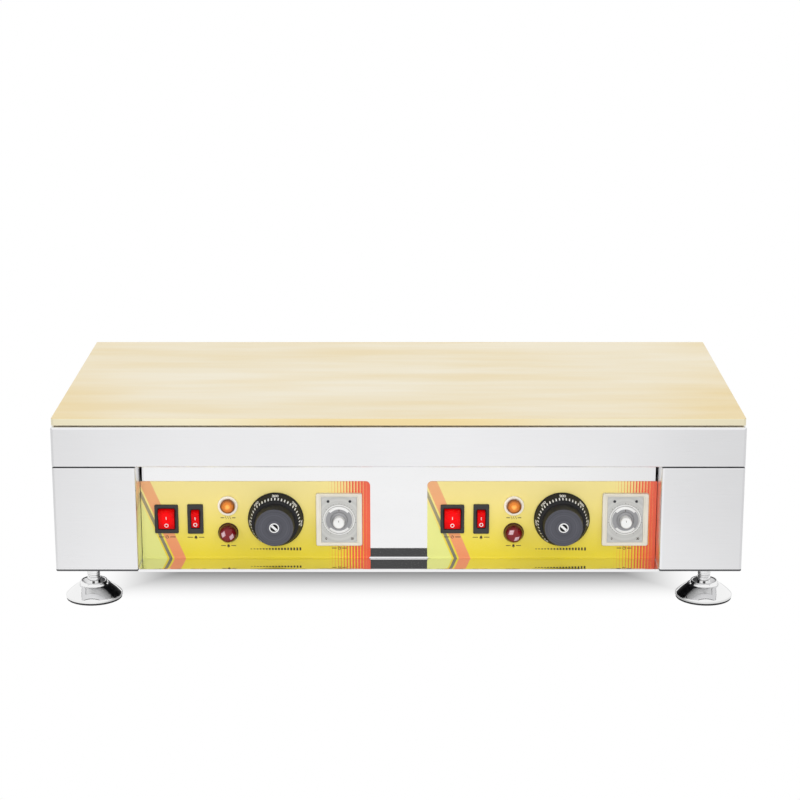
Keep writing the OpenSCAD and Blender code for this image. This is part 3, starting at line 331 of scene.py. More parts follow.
class Nodes:
    """A node tree, with short ways to add to it."""

    def __init__(self, tree):
        self.tree = tree

    def feed(self, socket, value):
        """Links an output to a socket, or sets the socket's own value."""
        if isinstance(value, bpy.types.NodeSocket):
            self.tree.links.new(value, socket)
        elif hasattr(value, "__len__") and len(value) == 3 and len(socket.default_value) == 4:
            socket.default_value = (*value, 1.0)
        else:
            socket.default_value = value

    def add(self, kind, *values, named=None, **settings):
        """A node with its settings, its first inputs fed in order and others by name or place."""
        made = self.tree.nodes.new(kind)
        for setting, value in settings.items():
            setattr(made, setting, value)
        for socket, value in zip(made.inputs, values):
            self.feed(socket, value)
        for label, value in (named or {}).items():
            self.feed(made.inputs[label], value)
        return made

    def math(self, operation, *values):
        return self.add("ShaderNodeMath", *values, operation=operation).outputs[0]

    def weigh(self, a, a_share, b, b_share):
        """Sum of two values, each times its share."""
        return self.math("ADD", self.math("MULTIPLY", a, a_share), self.math("MULTIPLY", b, b_share))

    def spread(self, value, low, high, to_low=0.0, to_high=1.0, smooth=False):
        """value from low..high to to_low..to_high, clamped."""
        return self.add("ShaderNodeMapRange", value, low, high, to_low, to_high,
                        interpolation_type="SMOOTHSTEP" if smooth else "LINEAR").outputs[0]

    def vector(self, *parts):
        return self.add("ShaderNodeCombineXYZ", *parts).outputs[0]

    def place(self, scale=1.0, centre=(0.0, 0.0, 0.0)):
        """Object coordinates about a centre, in metres times scale."""
        scale = scale if hasattr(scale, "__len__") else (scale,) * 3
        return self.add("ShaderNodeMapping", self.add("ShaderNodeTexCoord").outputs["Object"], named={
            "Scale": scale, "Location": [-c * s for c, s in zip(centre, scale)]}).outputs["Vector"]

    def spot(self, *place):
        """X, Y and Z of such coordinates."""
        return self.add("ShaderNodeSeparateXYZ", self.place(*place)).outputs

    def radius(self, centre, flat=(1.0, 0.0, 1.0)):
        """Distance from an axis through centre; flat has a 0 along that axis."""
        return self.add("ShaderNodeVectorMath", self.place(flat, centre), operation="LENGTH").outputs["Value"]

    def noise(self, vector, scale=1.0, detail=2.0, roughness=0.5):
        return self.add("ShaderNodeTexNoise", named={
            "Vector": vector, "Scale": scale, "Detail": detail, "Roughness": roughness}).outputs["Fac"]

    def blend(self, share, a, b):
        """Colour a where share is 0, colour b where it is 1."""
        return self.add("ShaderNodeMix", data_type="RGBA", named={0: share, 6: a, 7: b}).outputs[2]


class Finish(Nodes):
    """A procedural material that ends in a Principled shader."""

    def __init__(self, name, base, metallic=0.0, roughness=0.5, **constants):
        self.material = bpy.data.materials.new(name)
        self.material.use_nodes = True
        super().__init__(self.material.node_tree)
        self.shader = self.tree.nodes["Principled BSDF"]
        self.set(Base_Color=base, Metallic=metallic, Roughness=roughness, **constants)

    def set(self, **sockets):
        """Feeds the shader's sockets, whose names have an underscore for each space."""
        for label, value in sockets.items():
            self.feed(self.shader.inputs[label.replace("_", " ")], value)

    def relief(self, height, strength, depth):
        """Bumps the surface to a depth in millimetres, and returns the finished material."""
        bump = {"Height": height, "Strength": strength, "Distance": depth * MM}
        self.set(Normal=self.add("ShaderNodeBump", named=bump).outputs["Normal"])
        return self.material

    def tone(self, shade, base, low, high):
        """A colour that shade moves between two tints of it."""
        return self.blend(self.spread(shade, 0.3, 0.7), tinted(base, low), tinted(base, high))


def brushed_metal(name, base, roughness, grain=(25.0, 2600.0, 2600.0), spread=0.10, tone=0.05, shade_lines=None):
    """Metal with fine brushing along X and faint handling marks.

    The heights given last set two lines of painted shade: one at the foot, where the bent edge would mirror the shadow
    under the body, and one along the top, for the shadow in the gap under the band.
    """
    metal = Finish(name, base, 1.0, roughness)
    lines = metal.noise(metal.place(grain), 1.0, 3.0, 0.6)
    shade = metal.weigh(lines, 0.45, metal.noise(metal.place(), 7.0, 3.0), 0.55)
    sheet = metal.tone(shade, base, 1.0 - tone, 1.0 + 0.6 * tone)
    if shade_lines:
        low, high, top = shade_lines
        # painted shade: dark lines at the foot and along the top of the sheet
        z = metal.spot()["Z"]
        foot = metal.math("COMPARE", z, (low + high) / 2, (high - low) / 2)
        closed = metal.math("ADD", foot, metal.math("GREATER_THAN", z, top))
        sheet = metal.blend(metal.math("MULTIPLY", closed, 0.93), sheet, (0.05, 0.05, 0.055))
    metal.set(Base_Color=sheet,
              Roughness=metal.spread(shade, 0.25, 0.75, roughness - spread / 2, roughness + spread / 2))
    return metal.relief(lines, 0.10, 0.04)


def dulled_sheet(name, bright, dull, reach):
    """Bare sheet that is bright within reach of the body's edges and nearly black between: the black is painted shade,
    for the dark underside that the feet mirror.
    """
    sheet = Finish(name, bright, 1.0, 0.3)
    spangle = sheet.noise(sheet.place(), 160.0, 3.0, 0.6)
    spot, soft = sheet.spot(), 6.0 * MM
    inset = [sheet.math("SUBTRACT", edge, sheet.math("ABSOLUTE", spot[axis]))
             for axis, edge in (("X", HALF_W + 9.0 * MM), ("Y", HALF_D))]
    wander = sheet.spread(spangle, 0.3, 0.7, -1.5 * MM, 1.5 * MM)
    deep = sheet.math("ADD", sheet.math("MINIMUM", *inset), wander)
    share = sheet.spread(deep, reach + soft, reach - soft, smooth=True)
    # painted shade: away from the body's edges the sheet turns nearly black
    worn = sheet.blend(share, dull, bright)
    sheet.set(Base_Color=sheet.blend(sheet.spread(spangle, 0.3, 0.7, 0.0, 0.06), worn, dull),
              Roughness=sheet.spread(share, 0.0, 1.0, 0.5, 0.45))
    return sheet.relief(spangle, 0.08, 0.04)


def polished_metal(name, base, roughness, haze=0.05):
    """Mirror metal with faint wipe marks and a very slight ripple."""
    metal = Finish(name, base, 1.0, roughness)
    wipe = metal.noise(metal.place((9.0, 9.0, 22.0)), 1.0, 5.0, 0.65)
    worn = metal.weigh(wipe, 0.8, metal.noise(metal.place(), 900.0, 2.0), 0.2)
    metal.set(Base_Color=metal.blend(metal.spread(worn, 0.3, 0.8), base, tinted(base, 0.96)),
              Roughness=metal.spread(worn, 0.35, 0.75, roughness, roughness + haze))
    return metal.relief(metal.noise(metal.place(), 18.0, 1.0), 0.015, 0.6)


def moulded_plastic(name, base, roughness, grain=1600.0, tone=0.12, **constants):
    """Moulded plastic with a fine grain and slight changes of tone and gloss."""
    plastic = Finish(name, base, 0.0, roughness, **constants)
    fine = plastic.noise(plastic.place(), grain, 3.0, 0.6)
    broad = plastic.noise(plastic.place(), 45.0, 2.0)
    plastic.set(Base_Color=plastic.tone(broad, base, 1.0 - tone, 1.0 + tone),
                Roughness=plastic.spread(fine, 0.25, 0.75, roughness - 0.05, roughness + 0.08))
    return plastic.relief(fine, 0.12, 0.03)


def woven_fibre(name, base, roughness, scale):
    """Felted or pressed fibre: matt, mottled and rough."""
    fibre = Finish(name, base, 0.0, roughness)
    strands = fibre.noise(fibre.place((1.0, 0.35, 1.0)), scale, 6.0, 0.7)
    shade = fibre.weigh(strands, 0.6, fibre.noise(fibre.place(), scale / 12.0, 3.0), 0.4)
    fibre.set(Base_Color=fibre.tone(shade, base, 0.7, 1.0))
    return fibre.relief(strands, 0.5, 0.3)


def toned_brass(name, pale, warm, edge, top):
    """Brushed brass plate: streaks along X, clouded by heat and warmer towards its ends, with cut edges whose brighter
    colour is partly painted highlight.
    """
    brass = Finish(name, pale, 1.0, 0.34)
    streaks = brass.noise(brass.place((4.5, 32.0, 40.0)), 1.0, 3.0, 0.5)
    clouds = brass.noise(brass.place((3.0, 6.0, 3.0)), 1.0, 3.0, 0.55)
    scratches = brass.noise(brass.place((14.0, 2400.0, 900.0)), 1.0, 2.0)
    spot = brass.spot()
    aside = brass.math("ABSOLUTE", spot["X"])
    ends = brass.math("MULTIPLY", brass.spread(aside, 0.25, HALF_W, smooth=True),
                      brass.spread(spot["Y"], 0.05, -0.17, 0.15, 0.85))
    tone = brass.spread(brass.weigh(streaks, 0.5, clouds, 0.5), 0.38, 0.66, 0.0, 0.6)
    face = brass.blend(brass.math("MINIMUM", brass.math("ADD", tone, ends), 1.0), pale, warm)
    # partly painted highlight: the cut edges are brighter than the plate, brightest towards the ends
    rim = brass.blend(brass.spread(aside, 0.05, 0.24, smooth=True), tinted(warm, 1.12), edge)
    brass.set(Base_Color=brass.blend(brass.spread(spot["Z"], top - 0.5 * MM, top - 0.2 * MM), rim, face),
              Roughness=brass.spread(streaks, 0.3, 0.7, 0.28, 0.42))
    return brass.relief(scratches, 0.12, 0.05)


def printed_film(name, low, high, tint):
    """Overlay print: a yellow ground, slanted bands at its left end and upright bars at its right end."""
    film = Finish(name, tint.print_top, 0.0, 0.34, Coat_Weight=0.25, Coat_Roughness=0.2)
    spot = film.spot(1.0 / MM, (low.x, 0.0, low.z))
    u, v = spot["X"], spot["Z"]
    wide, tall = (high.x - low.x) / MM, (high.z - low.z) / MM
    ground = film.blend(film.spread(v, 0.0, tall, smooth=True), tint.print_low, tint.print_top)
    slant = film.math("ADD", u, film.math("MULTIPLY", film.math("SUBTRACT", v, tall / 2), 0.42))
    fade = film.spread(v, 0.0, tall, 1.0, 0.72)
    for start, end, ink, cover in ((-40.0, 8.0, tint.print_green, 0.75), (10.0, 13.5, tint.print_slate, 0.9),
                                   (15.5, 28.0, tint.print_coral, 0.9)):
        inside = film.math("COMPARE", slant, (start + end) / 2, (end - start) / 2)
        ground = film.blend(film.math("MULTIPLY", inside, film.math("MULTIPLY", fade, cover)), ground, ink)
    near_end = film.spread(u, wide - 46.0, wide - 3.0)
    bars = film.math("LESS_THAN", film.math("FRACT", film.math("DIVIDE", u, 3.1)), near_end)
    red = film.math("MULTIPLY", bars, film.spread(near_end, 0.0, 0.6, 0.35, 0.95))
    ground = film.blend(red, ground, tint.print_red)
    screen = film.noise(film.place(), 1400.0, 1.0)
    film.set(Base_Color=film.blend(film.spread(screen, 0.2, 0.8, 0.0, 0.06), ground, (0.95, 0.90, 0.62)),
             Roughness=film.spread(screen, 0.3, 0.7, 0.30, 0.38))
    return film.relief(screen, 0.06, 0.03)


def lamp_lens(name, centre, reach, tint, glow, highlight_turn=None):
    """Clear coloured lens with painted light: a painted glow over its middle, as strong as glow is, and painted shade
    towards its rim, where its wall is seen edge on.

    The last argument is the angle at which two pale patches lie: painted highlights.
    """
    lens = Finish(name, tint, 0.0, 0.05, IOR=1.47, Specular_IOR_Level=0.45)
    ripple = lens.noise(lens.place(), 420.0, 2.0)
    out = lens.math("ADD", lens.math("DIVIDE", lens.radius(centre), reach),
                    lens.spread(ripple, 0.3, 0.7, -0.06, 0.06))
    # painted light: a painted glow over the middle and painted shade towards the rim
    painted_glow = [min(1.0, c * (1.0 + 1.2 * glow) + 0.05 * glow) for c in tint]
    shade = lens.blend(lens.spread(out, 0.10, 0.50, smooth=True), painted_glow, tint)
    shade = lens.blend(lens.spread(out, 0.55, 0.98, smooth=True), shade, tinted(tint, 0.30))
    # painted highlights: two pale patches on the lens, broken up by noise
    if highlight_turn is not None:
        turned = lens.add("ShaderNodeVectorRotate", lens.place(1.0 / MM, centre), named={"Angle": highlight_turn},
                          rotation_type="Y_AXIS")
        spot = lens.add("ShaderNodeSeparateXYZ", turned.outputs[0]).outputs
        along = lens.math("ABSOLUTE", lens.math("SUBTRACT", lens.math("ABSOLUTE", spot["X"]), 4.6))
        far = lens.weigh(along, 1.0 / 2.9, lens.math("ABSOLUTE", spot["Z"]), 1.0 / 4.4)
        highlight_mottle = lens.spread(lens.noise(lens.place(), 900.0, 1.0), 0.35, 0.65, 0.65, 1.0)
        pale = lens.math("MULTIPLY", lens.spread(far, 0.70, 1.05, 1.0, 0.0, smooth=True), highlight_mottle)
        shade = lens.blend(pale, shade, (0.72, 0.50, 0.55))
    lens.set(Base_Color=shade, Emission_Color=shade, Emission_Strength=0.25 * glow)
    return lens.relief(ripple, 0.04, 0.08)


def turned_face(name, base, centre, metallic, roughness, contrast=0.25):
    """Face turned on a lathe: fine rings about an axis along Y, with the sheen that follows them."""
    face = Finish(name, base, metallic, roughness, Anisotropic=0.75)
    r = face.radius(centre)
    rings, broad = (face.noise(face.vector(face.math("MULTIPLY", r, rate)), 1.0, detail)
                    for rate, detail in ((1900.0, 2.0), (260.0, 1.0)))
    shade = face.weigh(rings, 0.6, broad, 0.4)
    face.set(Base_Color=face.tone(shade, base, 1.0 - contrast, 1.0 + contrast),
             Roughness=face.spread(shade, 0.3, 0.7, roughness - 0.06, roughness + 0.06),
             Tangent=face.add("ShaderNodeTangent", direction_type="RADIAL", axis="Y").outputs[0])
    return face.relief(rings, 0.25, 0.06)


def red_rocker(name, base, centre):
    """Clear red moulding with painted light: a faint painted glow, lighter just above its middle and darker towards
    its edges.
    """
    red = Finish(name, base, 0.0, 0.20, IOR=1.49, Specular_IOR_Level=0.12)
    away = red.radius(centre + mm(z=2.0), (1.0, 0.0, 0.7))
    cloud = red.noise(red.place(), 260.0, 3.0)
    share = red.math("ADD", red.spread(away, 3.0 * MM, 12.0 * MM), red.spread(cloud, 0.3, 0.7, -0.10, 0.10))
    # painted light: lighter just above the middle, darker towards the edges, with a faint glow
    shade = red.blend(share, tinted(base, 1.3), tinted(base, 0.55))
    red.set(Base_Color=shade, Emission_Color=shade, Emission_Strength=0.12)
    return red.relief(cloud, 0.05, 0.05)


# Outlines and shapes

def outline(*corners, steps=4):
    """Open outline in millimetres: each corner is (u, v) or (u, v, rounding)."""
    points = []
    for i, corner in enumerate(corners):
        here = Vector(corner[:2])
        if len(corner) == 2 or i in (0, len(corners) - 1):
            points.append(here)
            continue
        back, ahead = Vector(corners[i - 1][:2]) - here, Vector(corners[i + 1][:2]) - here
        half = back.angle(ahead) / 2
        reach = min(corner[2] / math.tan(half), 0.49 * back.length, 0.49 * ahead.length)
        back.normalize()
        ahead.normalize()
        hub = here + (back + ahead).normalized() * (reach * math.tan(half) / math.sin(half))
        first = here + back * reach - hub
        turn = first.angle_signed(here + ahead * reach - hub)
        points += [hub + Matrix.Rotation(-turn * k / steps, 2) @ first for k in range(steps + 1)]
    return [p * MM for p in points]


def rounded_rectangle(half_w, half_h, r, steps=5):
    """Closed loop round a rectangle, in metres."""
    loop = []
    for quarter, (sx, sy) in enumerate(((1, 1), (-1, 1), (-1, -1), (1, -1))):
        for k in range(steps + 1):
            a = math.radians(90 * (quarter + k / steps))
            loop.append((sx * (half_w - r) + r * math.cos(a), sy * (half_h - r) + r * math.sin(a)))
    return loop


def framed(half_w, half_h, *steps):
    """Loops round an opening; each step is its extra width, corner radius and height in millimetres."""
    return [(rounded_rectangle(half_w + extra * MM, half_h + extra * MM, r * MM), h * MM)
            for extra, r, h in steps]


def eased(r):
    """How far a rounded edge draws in and drops, from its side to its top."""
    return [(r * (1 - math.cos(a)), r * (1 - math.sin(a))) for a in (math.pi / 8 * k for k in range(5))]


class Shape:
    """A mesh in the making, which may start as a merged copy of a CAD node."""

    def __init__(self, node=None):
        self.bm = bmesh.new()
        if node:
            self.add(frame["nodes"][node].data)
            bmesh.ops.remove_doubles(self.bm, verts=self.bm.verts, dist=1e-6)

    def add(self, mesh):
        """Adds a mesh in the first finish."""
        before = len(self.bm.faces)
        self.bm.from_mesh(mesh)
        self.bm.faces.ensure_lookup_table()
        for face in self.bm.faces[before:]:
            face.material_index = 0

    def take(self, mesh, matrix):
        """Moves a mesh that was made elsewhere, adds it and removes it."""
        mesh.transform(matrix)
        self.add(mesh)
        bpy.data.meshes.remove(mesh)
        return self

    def skin(self, rings, ring_shaped=False, finish=lambda i: 0):
        """Faces through a list of loops; a loop of one point is a pole."""
        rows = [[self.bm.verts.new(p) for p in ring] for ring in rings]
        pairs = list(zip(rows, rows[1:] + rows[:1]))
        for i, (a, b) in enumerate(pairs if ring_shaped else pairs[:-1]):
            around = max(len(a), len(b))
            for k in range(around):
                j = (k + 1) % around
                corners = [a[k % len(a)], a[j % len(a)], b[j % len(b)], b[k % len(b)]]
                corners = [v for n, v in enumerate(corners) if v not in corners[:n]]
                self.bm.faces.new(corners).material_index = finish(i)
        if not ring_shaped:
            for i, row in ((0, rows[0]), (len(rows) - 2, rows[-1])):
                if len(row) > 2:
                    self.bm.faces.new(row).material_index = finish(i)
        return self

    def turn(self, profile, centre, axis="OUT", around=64, ring_shaped=False, finish=lambda r, h: 0):
        """Turned piece: profile is radius and height along -Y (OUT) or +Z (UP)."""
        rings = []
        for r, h in profile:
            flat = [(r * c, r * s) for c, s in (circle(around) if r > 1e-7 else [(1.0, 0.0)])]
            rings.append([centre + Vector((u, -h, v) if axis == "OUT" else (u, v, h)) for u, v in flat])
        spans = [((r + s) / 2, (h + g) / 2) for (r, h), (s, g) in zip(profile, profile[1:] + profile[:1])]
        return self.skin(rings, ring_shaped, lambda i: finish(*spans[i]))

    def stack(self, loops, centre, ring_shaped=False):
        """Skin through flat loops, each with its height along -Y."""
        return self.skin([[centre + Vector((u, -h, v)) for u, v in loop] for loop, h in loops], ring_shaped)

    def mark(self, points, centre, thickness):
        """Flat printed shape, in millimetres about a centre on a face that looks along -Y."""
        loop = [(u * MM, v * MM) for u, v in points]
        return self.stack([(loop, 0.0), (loop, thickness)], centre)

    def bar(self, half_w, half_h, centre, thickness):
        """Printed bar."""
        return self.mark([(u * half_w, v * half_h) for u, v in SQUARE], centre, thickness)

    def ring(self, r_in, r_out, centre, thickness, start=0.0, sweep=360.0, steps=40):
        """Printed ring or arc, clockwise from the top."""
        closed = sweep == 360.0
        corners = ((r_in, 0.0), (r_out, 0.0), (r_out, thickness), (r_in, thickness))
        turns = [math.radians(start + sweep * k / steps) for k in range(steps if closed else steps + 1)]
        ways = [(math.sin(t) * MM, math.cos(t) * MM) for t in turns]
        rings = [[centre + Vector((r * u, -h, r * v)) for r, h in corners] for u, v in ways]
        return self.skin(rings, closed)

    def mesh(self, name):
        """The mesh with its faces outwards; the shape is used up."""
        bmesh.ops.recalc_face_normals(self.bm, faces=self.bm.faces)
        made = bpy.data.meshes.new(name)
        self.bm.to_mesh(made)
        self.bm.free()
        return made

    def piece(self, name, finishes, body, slot, replaces=(), crease=32.0):
        """Finishes the mesh and sets it on its CAD body."""
        bmesh.ops.remove_doubles(self.bm, verts=self.bm.verts, dist=1e-7)
        bmesh.ops.dissolve_degenerate(self.bm, edges=self.bm.edges, dist=1e-7)
        for face in self.bm.faces:
            face.smooth = True
        mesh = self.mesh(name)
        if not mesh.polygons:
            raise RuntimeError(f"{name} has no faces")
        mesh.set_sharp_from_angle(angle=math.radians(crease))
        for finish in finishes:
            mesh.materials.append(finish)
        made = new_object(name, mesh)
        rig.ride(made, body)
        if replaces:
            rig.replaces(made, *replaces)
        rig.slot(made, slot)


# Repeated and wound parts

class Maker(Nodes):
    """A Geometry Nodes tree with named inputs, which ends in real geometry with a finish."""

    def __init__(self, name, *numbers, **others):
        super().__init__(bpy.data.node_groups.new(name, "GeometryNodeTree"))
        sockets = {"Geometry": "Geometry", **dict.fromkeys(numbers, "Float"), **others, "Finish": "Material"}
        for label, kind in sockets.items():
            self.tree.interface.new_socket(label, in_out="INPUT", socket_type=f"NodeSocket{kind}")
        self.tree.interface.new_socket("Geometry", in_out="OUTPUT", socket_type="NodeSocketGeometry")
        self.given = self.add("NodeGroupInput").outputs

    def end(self, geometry):
        """Realizes the instances, sets the material and joins the output."""
        real = self.add("GeometryNodeRealizeInstances", geometry).outputs[0]
        painted = self.add("GeometryNodeSetMaterial", real, named={"Material": self.given["Finish"]})
        self.add("NodeGroupOutput", painted.outputs[0])
        return self

    def grow(self, base=None, **values):
        """Runs the tree and returns what it makes as a plain mesh."""
        carrier = new_object(self.tree.name, base or bpy.data.meshes.new(self.tree.name))
        modifier = carrier.modifiers.new("Make", "NODES")
        modifier.node_group = self.tree
        for item in self.tree.interface.items_tree:
            if item.in_out == "INPUT" and item.name in values:
                modifier[item.identifier] = values[item.name]
        return plain_mesh(carrier)


def bar_ring():
    """Bars round an axis along Y, such as ticks on a dial; one in Every is longer by a share, Extra."""
    bars = Maker("bar_ring", "Radius", "Start", "Sweep", "Length", "Width", "Height", "Tilt", "Extra",
                 Count="Int", Every="Int")
    given = bars.given
    index = bars.add("GeometryNodeInputIndex").outputs[0]
    share = bars.math("DIVIDE", index, bars.math("SUBTRACT", given["Count"], 1.0))
    angle = bars.math("ADD", given["Start"], bars.math("MULTIPLY", given["Sweep"], share))
    is_long = bars.math("LESS_THAN", bars.math("MODULO", index, given["Every"]), 0.5)
    stretch = bars.math("ADD", 1.0, bars.math("MULTIPLY", is_long, given["Extra"]))
    half = bars.math("MULTIPLY", bars.math("MULTIPLY", given["Length"], stretch), 0.5)
    r = bars.math("ADD", given["Radius"], half)
    at = bars.vector(bars.math("MULTIPLY", r, bars.math("SINE", angle)), 0.0,
                     bars.math("MULTIPLY", r, bars.math("COSINE", angle)))
    bar = bars.add("GeometryNodeMeshCube", bars.vector(given["Width"], given["Height"], given["Length"]))
    turn = bars.add("FunctionNodeEulerToRotation", bars.vector(given["Tilt"], angle, 0.0))
    placed = bars.add("GeometryNodeInstanceOnPoints", named={
        "Points": bars.add("GeometryNodePoints", given["Count"], at).outputs[0],
        "Instance": bar.outputs["Mesh"], "Rotation": turn.outputs[0],
        "Scale": bars.vector(1.0, 1.0, stretch)})
    return bars.end(placed.outputs[0])


def screw_thread():
    """Screw thread: a small ridge that winds up along Z."""
    thread = Maker("thread", "Radius", "Turns", "Rise", "Ridge")
    given = thread.given
    path = thread.add("GeometryNodeCurveSpiral", named={
        "Resolution": 20, "Rotations": given["Turns"], "Start Radius": given["Radius"],
        "End Radius": given["Radius"], "Height": given["Rise"]})
    ridge = thread.add("GeometryNodeCurvePrimitiveCircle", named={"Resolution": 4, "Radius": given["Ridge"]})
    wound = thread.add("GeometryNodeCurveToMesh", path.outputs[0], ridge.outputs["Curve"],
                       named={"Fill Caps": True})
    return thread.end(wound.outputs[0])


def scatter():
    """One part set on every point of a mesh, turned by the points' own attribute."""
    spread = Maker("scatter", Part="Object")
    part = spread.add("GeometryNodeObjectInfo", spread.given["Part"])
    turn = spread.add("GeometryNodeInputNamedAttribute", "turn", data_type="FLOAT_VECTOR")
    euler = spread.add("FunctionNodeEulerToRotation", turn.outputs["Attribute"])
    placed = spread.add("GeometryNodeInstanceOnPoints", spread.given["Geometry"], named={
        "Instance": part.outputs["Geometry"], "Rotation": euler.outputs[0]})
    return spread.end(placed.outputs[0])


def numeral(text, height, thickness):
    """A number as a flat mesh about its own middle, in the XY plane."""
    letters = bpy.data.curves.new("numeral", "FONT")
    letters.body, letters.size = text, height * 1.4
    letters.align_x, letters.align_y = "CENTER", "CENTER"
    letters.extrude, letters.offset, letters.space_character = thickness / 2, height * 0.03, 0.82
    letters.resolution_u = 3
    mesh = plain_mesh(new_object("numeral", letters))
    bpy.data.curves.remove(letters)
    return mesh


# Stage

SENSOR_W, SHIFT_X = 36.0, -0.011875
LENS_RISE = 0.34  # how steeply the mirrors look up at the lens, in radians
FLOOR_HALF = 6.0
SHADOW_FADE, MIRROR_FADE = (-0.16, -0.025), (-0.03, 0.02)  # from the body's outline, in metres
AIM = Vector((0.0, 0.0, 0.1))
BOXES = (("front", "front", (0.0, -3.1, 1.0), 1.6), ("left_box", "left", (-1.6, -0.95, 1.3), 0.5),
         ("right_box", "right", (1.2, -1.1, 1.5), 0.5))


class GRIDDLE_OT_stage(Operator):
    """Sets up the floor, the soft studio light and the camera"""

    bl_idname = "griddle.stage"
    bl_label = "Stage"

    def execute(self, context):
        light = settings()[2]
        scene = context.scene
        scene.view_settings.view_transform = "Standard"
        lens = bpy.data.cameras.new("camera")
        lens.lens, lens.sensor_width, lens.shift_x = light.lens, SENSOR_W, SHIFT_X
        scene.camera = new_object("camera", lens)
        scene.camera.location = light.place
        scene.camera.rotation_euler = (math.pi / 2 - light.tilt, 0.0, 0.0)
        scene.world = self.room(light)
        self.lay_floor(light)
        for name, power, place, size in BOXES:
            lamp = bpy.data.lights.new(name, "AREA")
            lamp.energy, lamp.size = getattr(light, power), size
            holder = new_object(name, lamp)
            holder.location = place
            holder.rotation_euler = (AIM - Vector(place)).to_track_quat("-Z", "Y").to_euler()
            holder.visible_glossy = holder.visible_camera = False
        return {"FINISHED"}

    def room(self, light):
        """White all round for camera and mirrors; what is mirrored twice falls off towards the lens."""
        world = bpy.data.worlds.new("studio")
        world.use_nodes = True
        room = Nodes(world.node_tree)
        rays = room.add("ShaderNodeLightPath").outputs
        way = room.add("ShaderNodeTexCoord").outputs["Generated"]
        to_lens = Vector((0.0, -math.cos(LENS_RISE), math.sin(LENS_RISE)))
        facing = room.add("ShaderNodeVectorMath", way, to_lens, operation="DOT_PRODUCT").outputs["Value"]
        dim = room.spread(facing, 0.90, 0.96, 0.0, 0.91, smooth=True)
        twice = room.math("MULTIPLY", room.math("GREATER_THAN", rays["Glossy Depth"], 1.5), dim)
        mirrored = room.math("MULTIPLY", rays["Is Glossy Ray"], room.math("SUBTRACT", 1.0, twice))
        direct = room.math("MAXIMUM", rays["Is Camera Ray"], rays["Is Transmission Ray"])
        seen = room.math("MAXIMUM", direct, rays["Is Glossy Ray"])
        strength = room.add("ShaderNodeMix", data_type="FLOAT", named={
            0: seen, 2: light.ambient, 3: room.math("MAXIMUM", direct, mirrored)}).outputs[0]
        sky = room.tree.nodes["Background"].inputs
        room.feed(sky["Color"], (1.0, 1.0, 1.0))
        room.feed(sky["Strength"], strength)
        return world

    def lay_floor(self, light):
        """Pale floor that keeps the shadow and turns plain white away from the object."""
        mesh = bpy.data.meshes.new("floor")
        mesh.from_pydata([(x * FLOOR_HALF, y * FLOOR_HALF, 0.0) for x, y in SQUARE], [], [(0, 1, 2, 3)])
        floor = new_object("floor", mesh)
        pale = bpy.data.materials.new("floor_pale")
        pale.use_nodes = True
        paint = Nodes(pale.node_tree)
        paint.tree.nodes.remove(paint.tree.nodes["Principled BSDF"])
        rays = paint.add("ShaderNodeLightPath").outputs
        spot = paint.spot()
        aside = paint.math("SUBTRACT", paint.math("ABSOLUTE", spot["X"]), HALF_W)
        deep = paint.math("SUBTRACT", paint.math("ABSOLUTE", spot["Y"]), HALF_D)
        away = paint.math("MAXIMUM", aside, deep)
        lift = paint.spread(away, *SHADOW_FADE, light.floor_lift, 1.0, smooth=True)
        beyond = paint.math("MAXIMUM", paint.math("ADD", aside, 0.055), deep)
        clear = paint.spread(beyond, *MIRROR_FADE, light.floor_lift, 1.0, smooth=True)
        share = paint.weigh(lift, rays["Is Camera Ray"], clear, rays["Is Glossy Ray"])
        # painted light fall-off: what the mirrors see of the floor dims towards the sides
        off_centre = paint.math("ABSOLUTE", paint.math("ADD", spot["X"], 0.06))
        ends = paint.spread(off_centre, 0.20, 0.60, 0.0, 0.26, smooth=True)
        shine = paint.math("SUBTRACT", 1.0, paint.math("MULTIPLY", ends, rays["Is Glossy Ray"]))
        matt = paint.add("ShaderNodeBsdfDiffuse", (0.70, 0.70, 0.70))
        glow = paint.add("ShaderNodeEmission", (1.0, 1.0, 1.0), shine)
        mix = paint.add("ShaderNodeMixShader", share, matt.outputs[0], glow.outputs[0])
        paint.feed(paint.tree.nodes["Material Output"].inputs["Surface"], mix.outputs[0])
        mesh.materials.append(pale)
        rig.stage(floor)


# Plate and sheet metal

SHEET_T, CAD_BEND = 1.5 * MM, 2.5 * MM
# heights of the casings' painted shade lines: at the foot, up from the bottom, and along the top, down from the top
SHADE_LINE_LOW, SHADE_LINE_HIGH, SHADE_LINE_TOP = 0.1 * MM, 2.8 * MM, 0.9 * MM


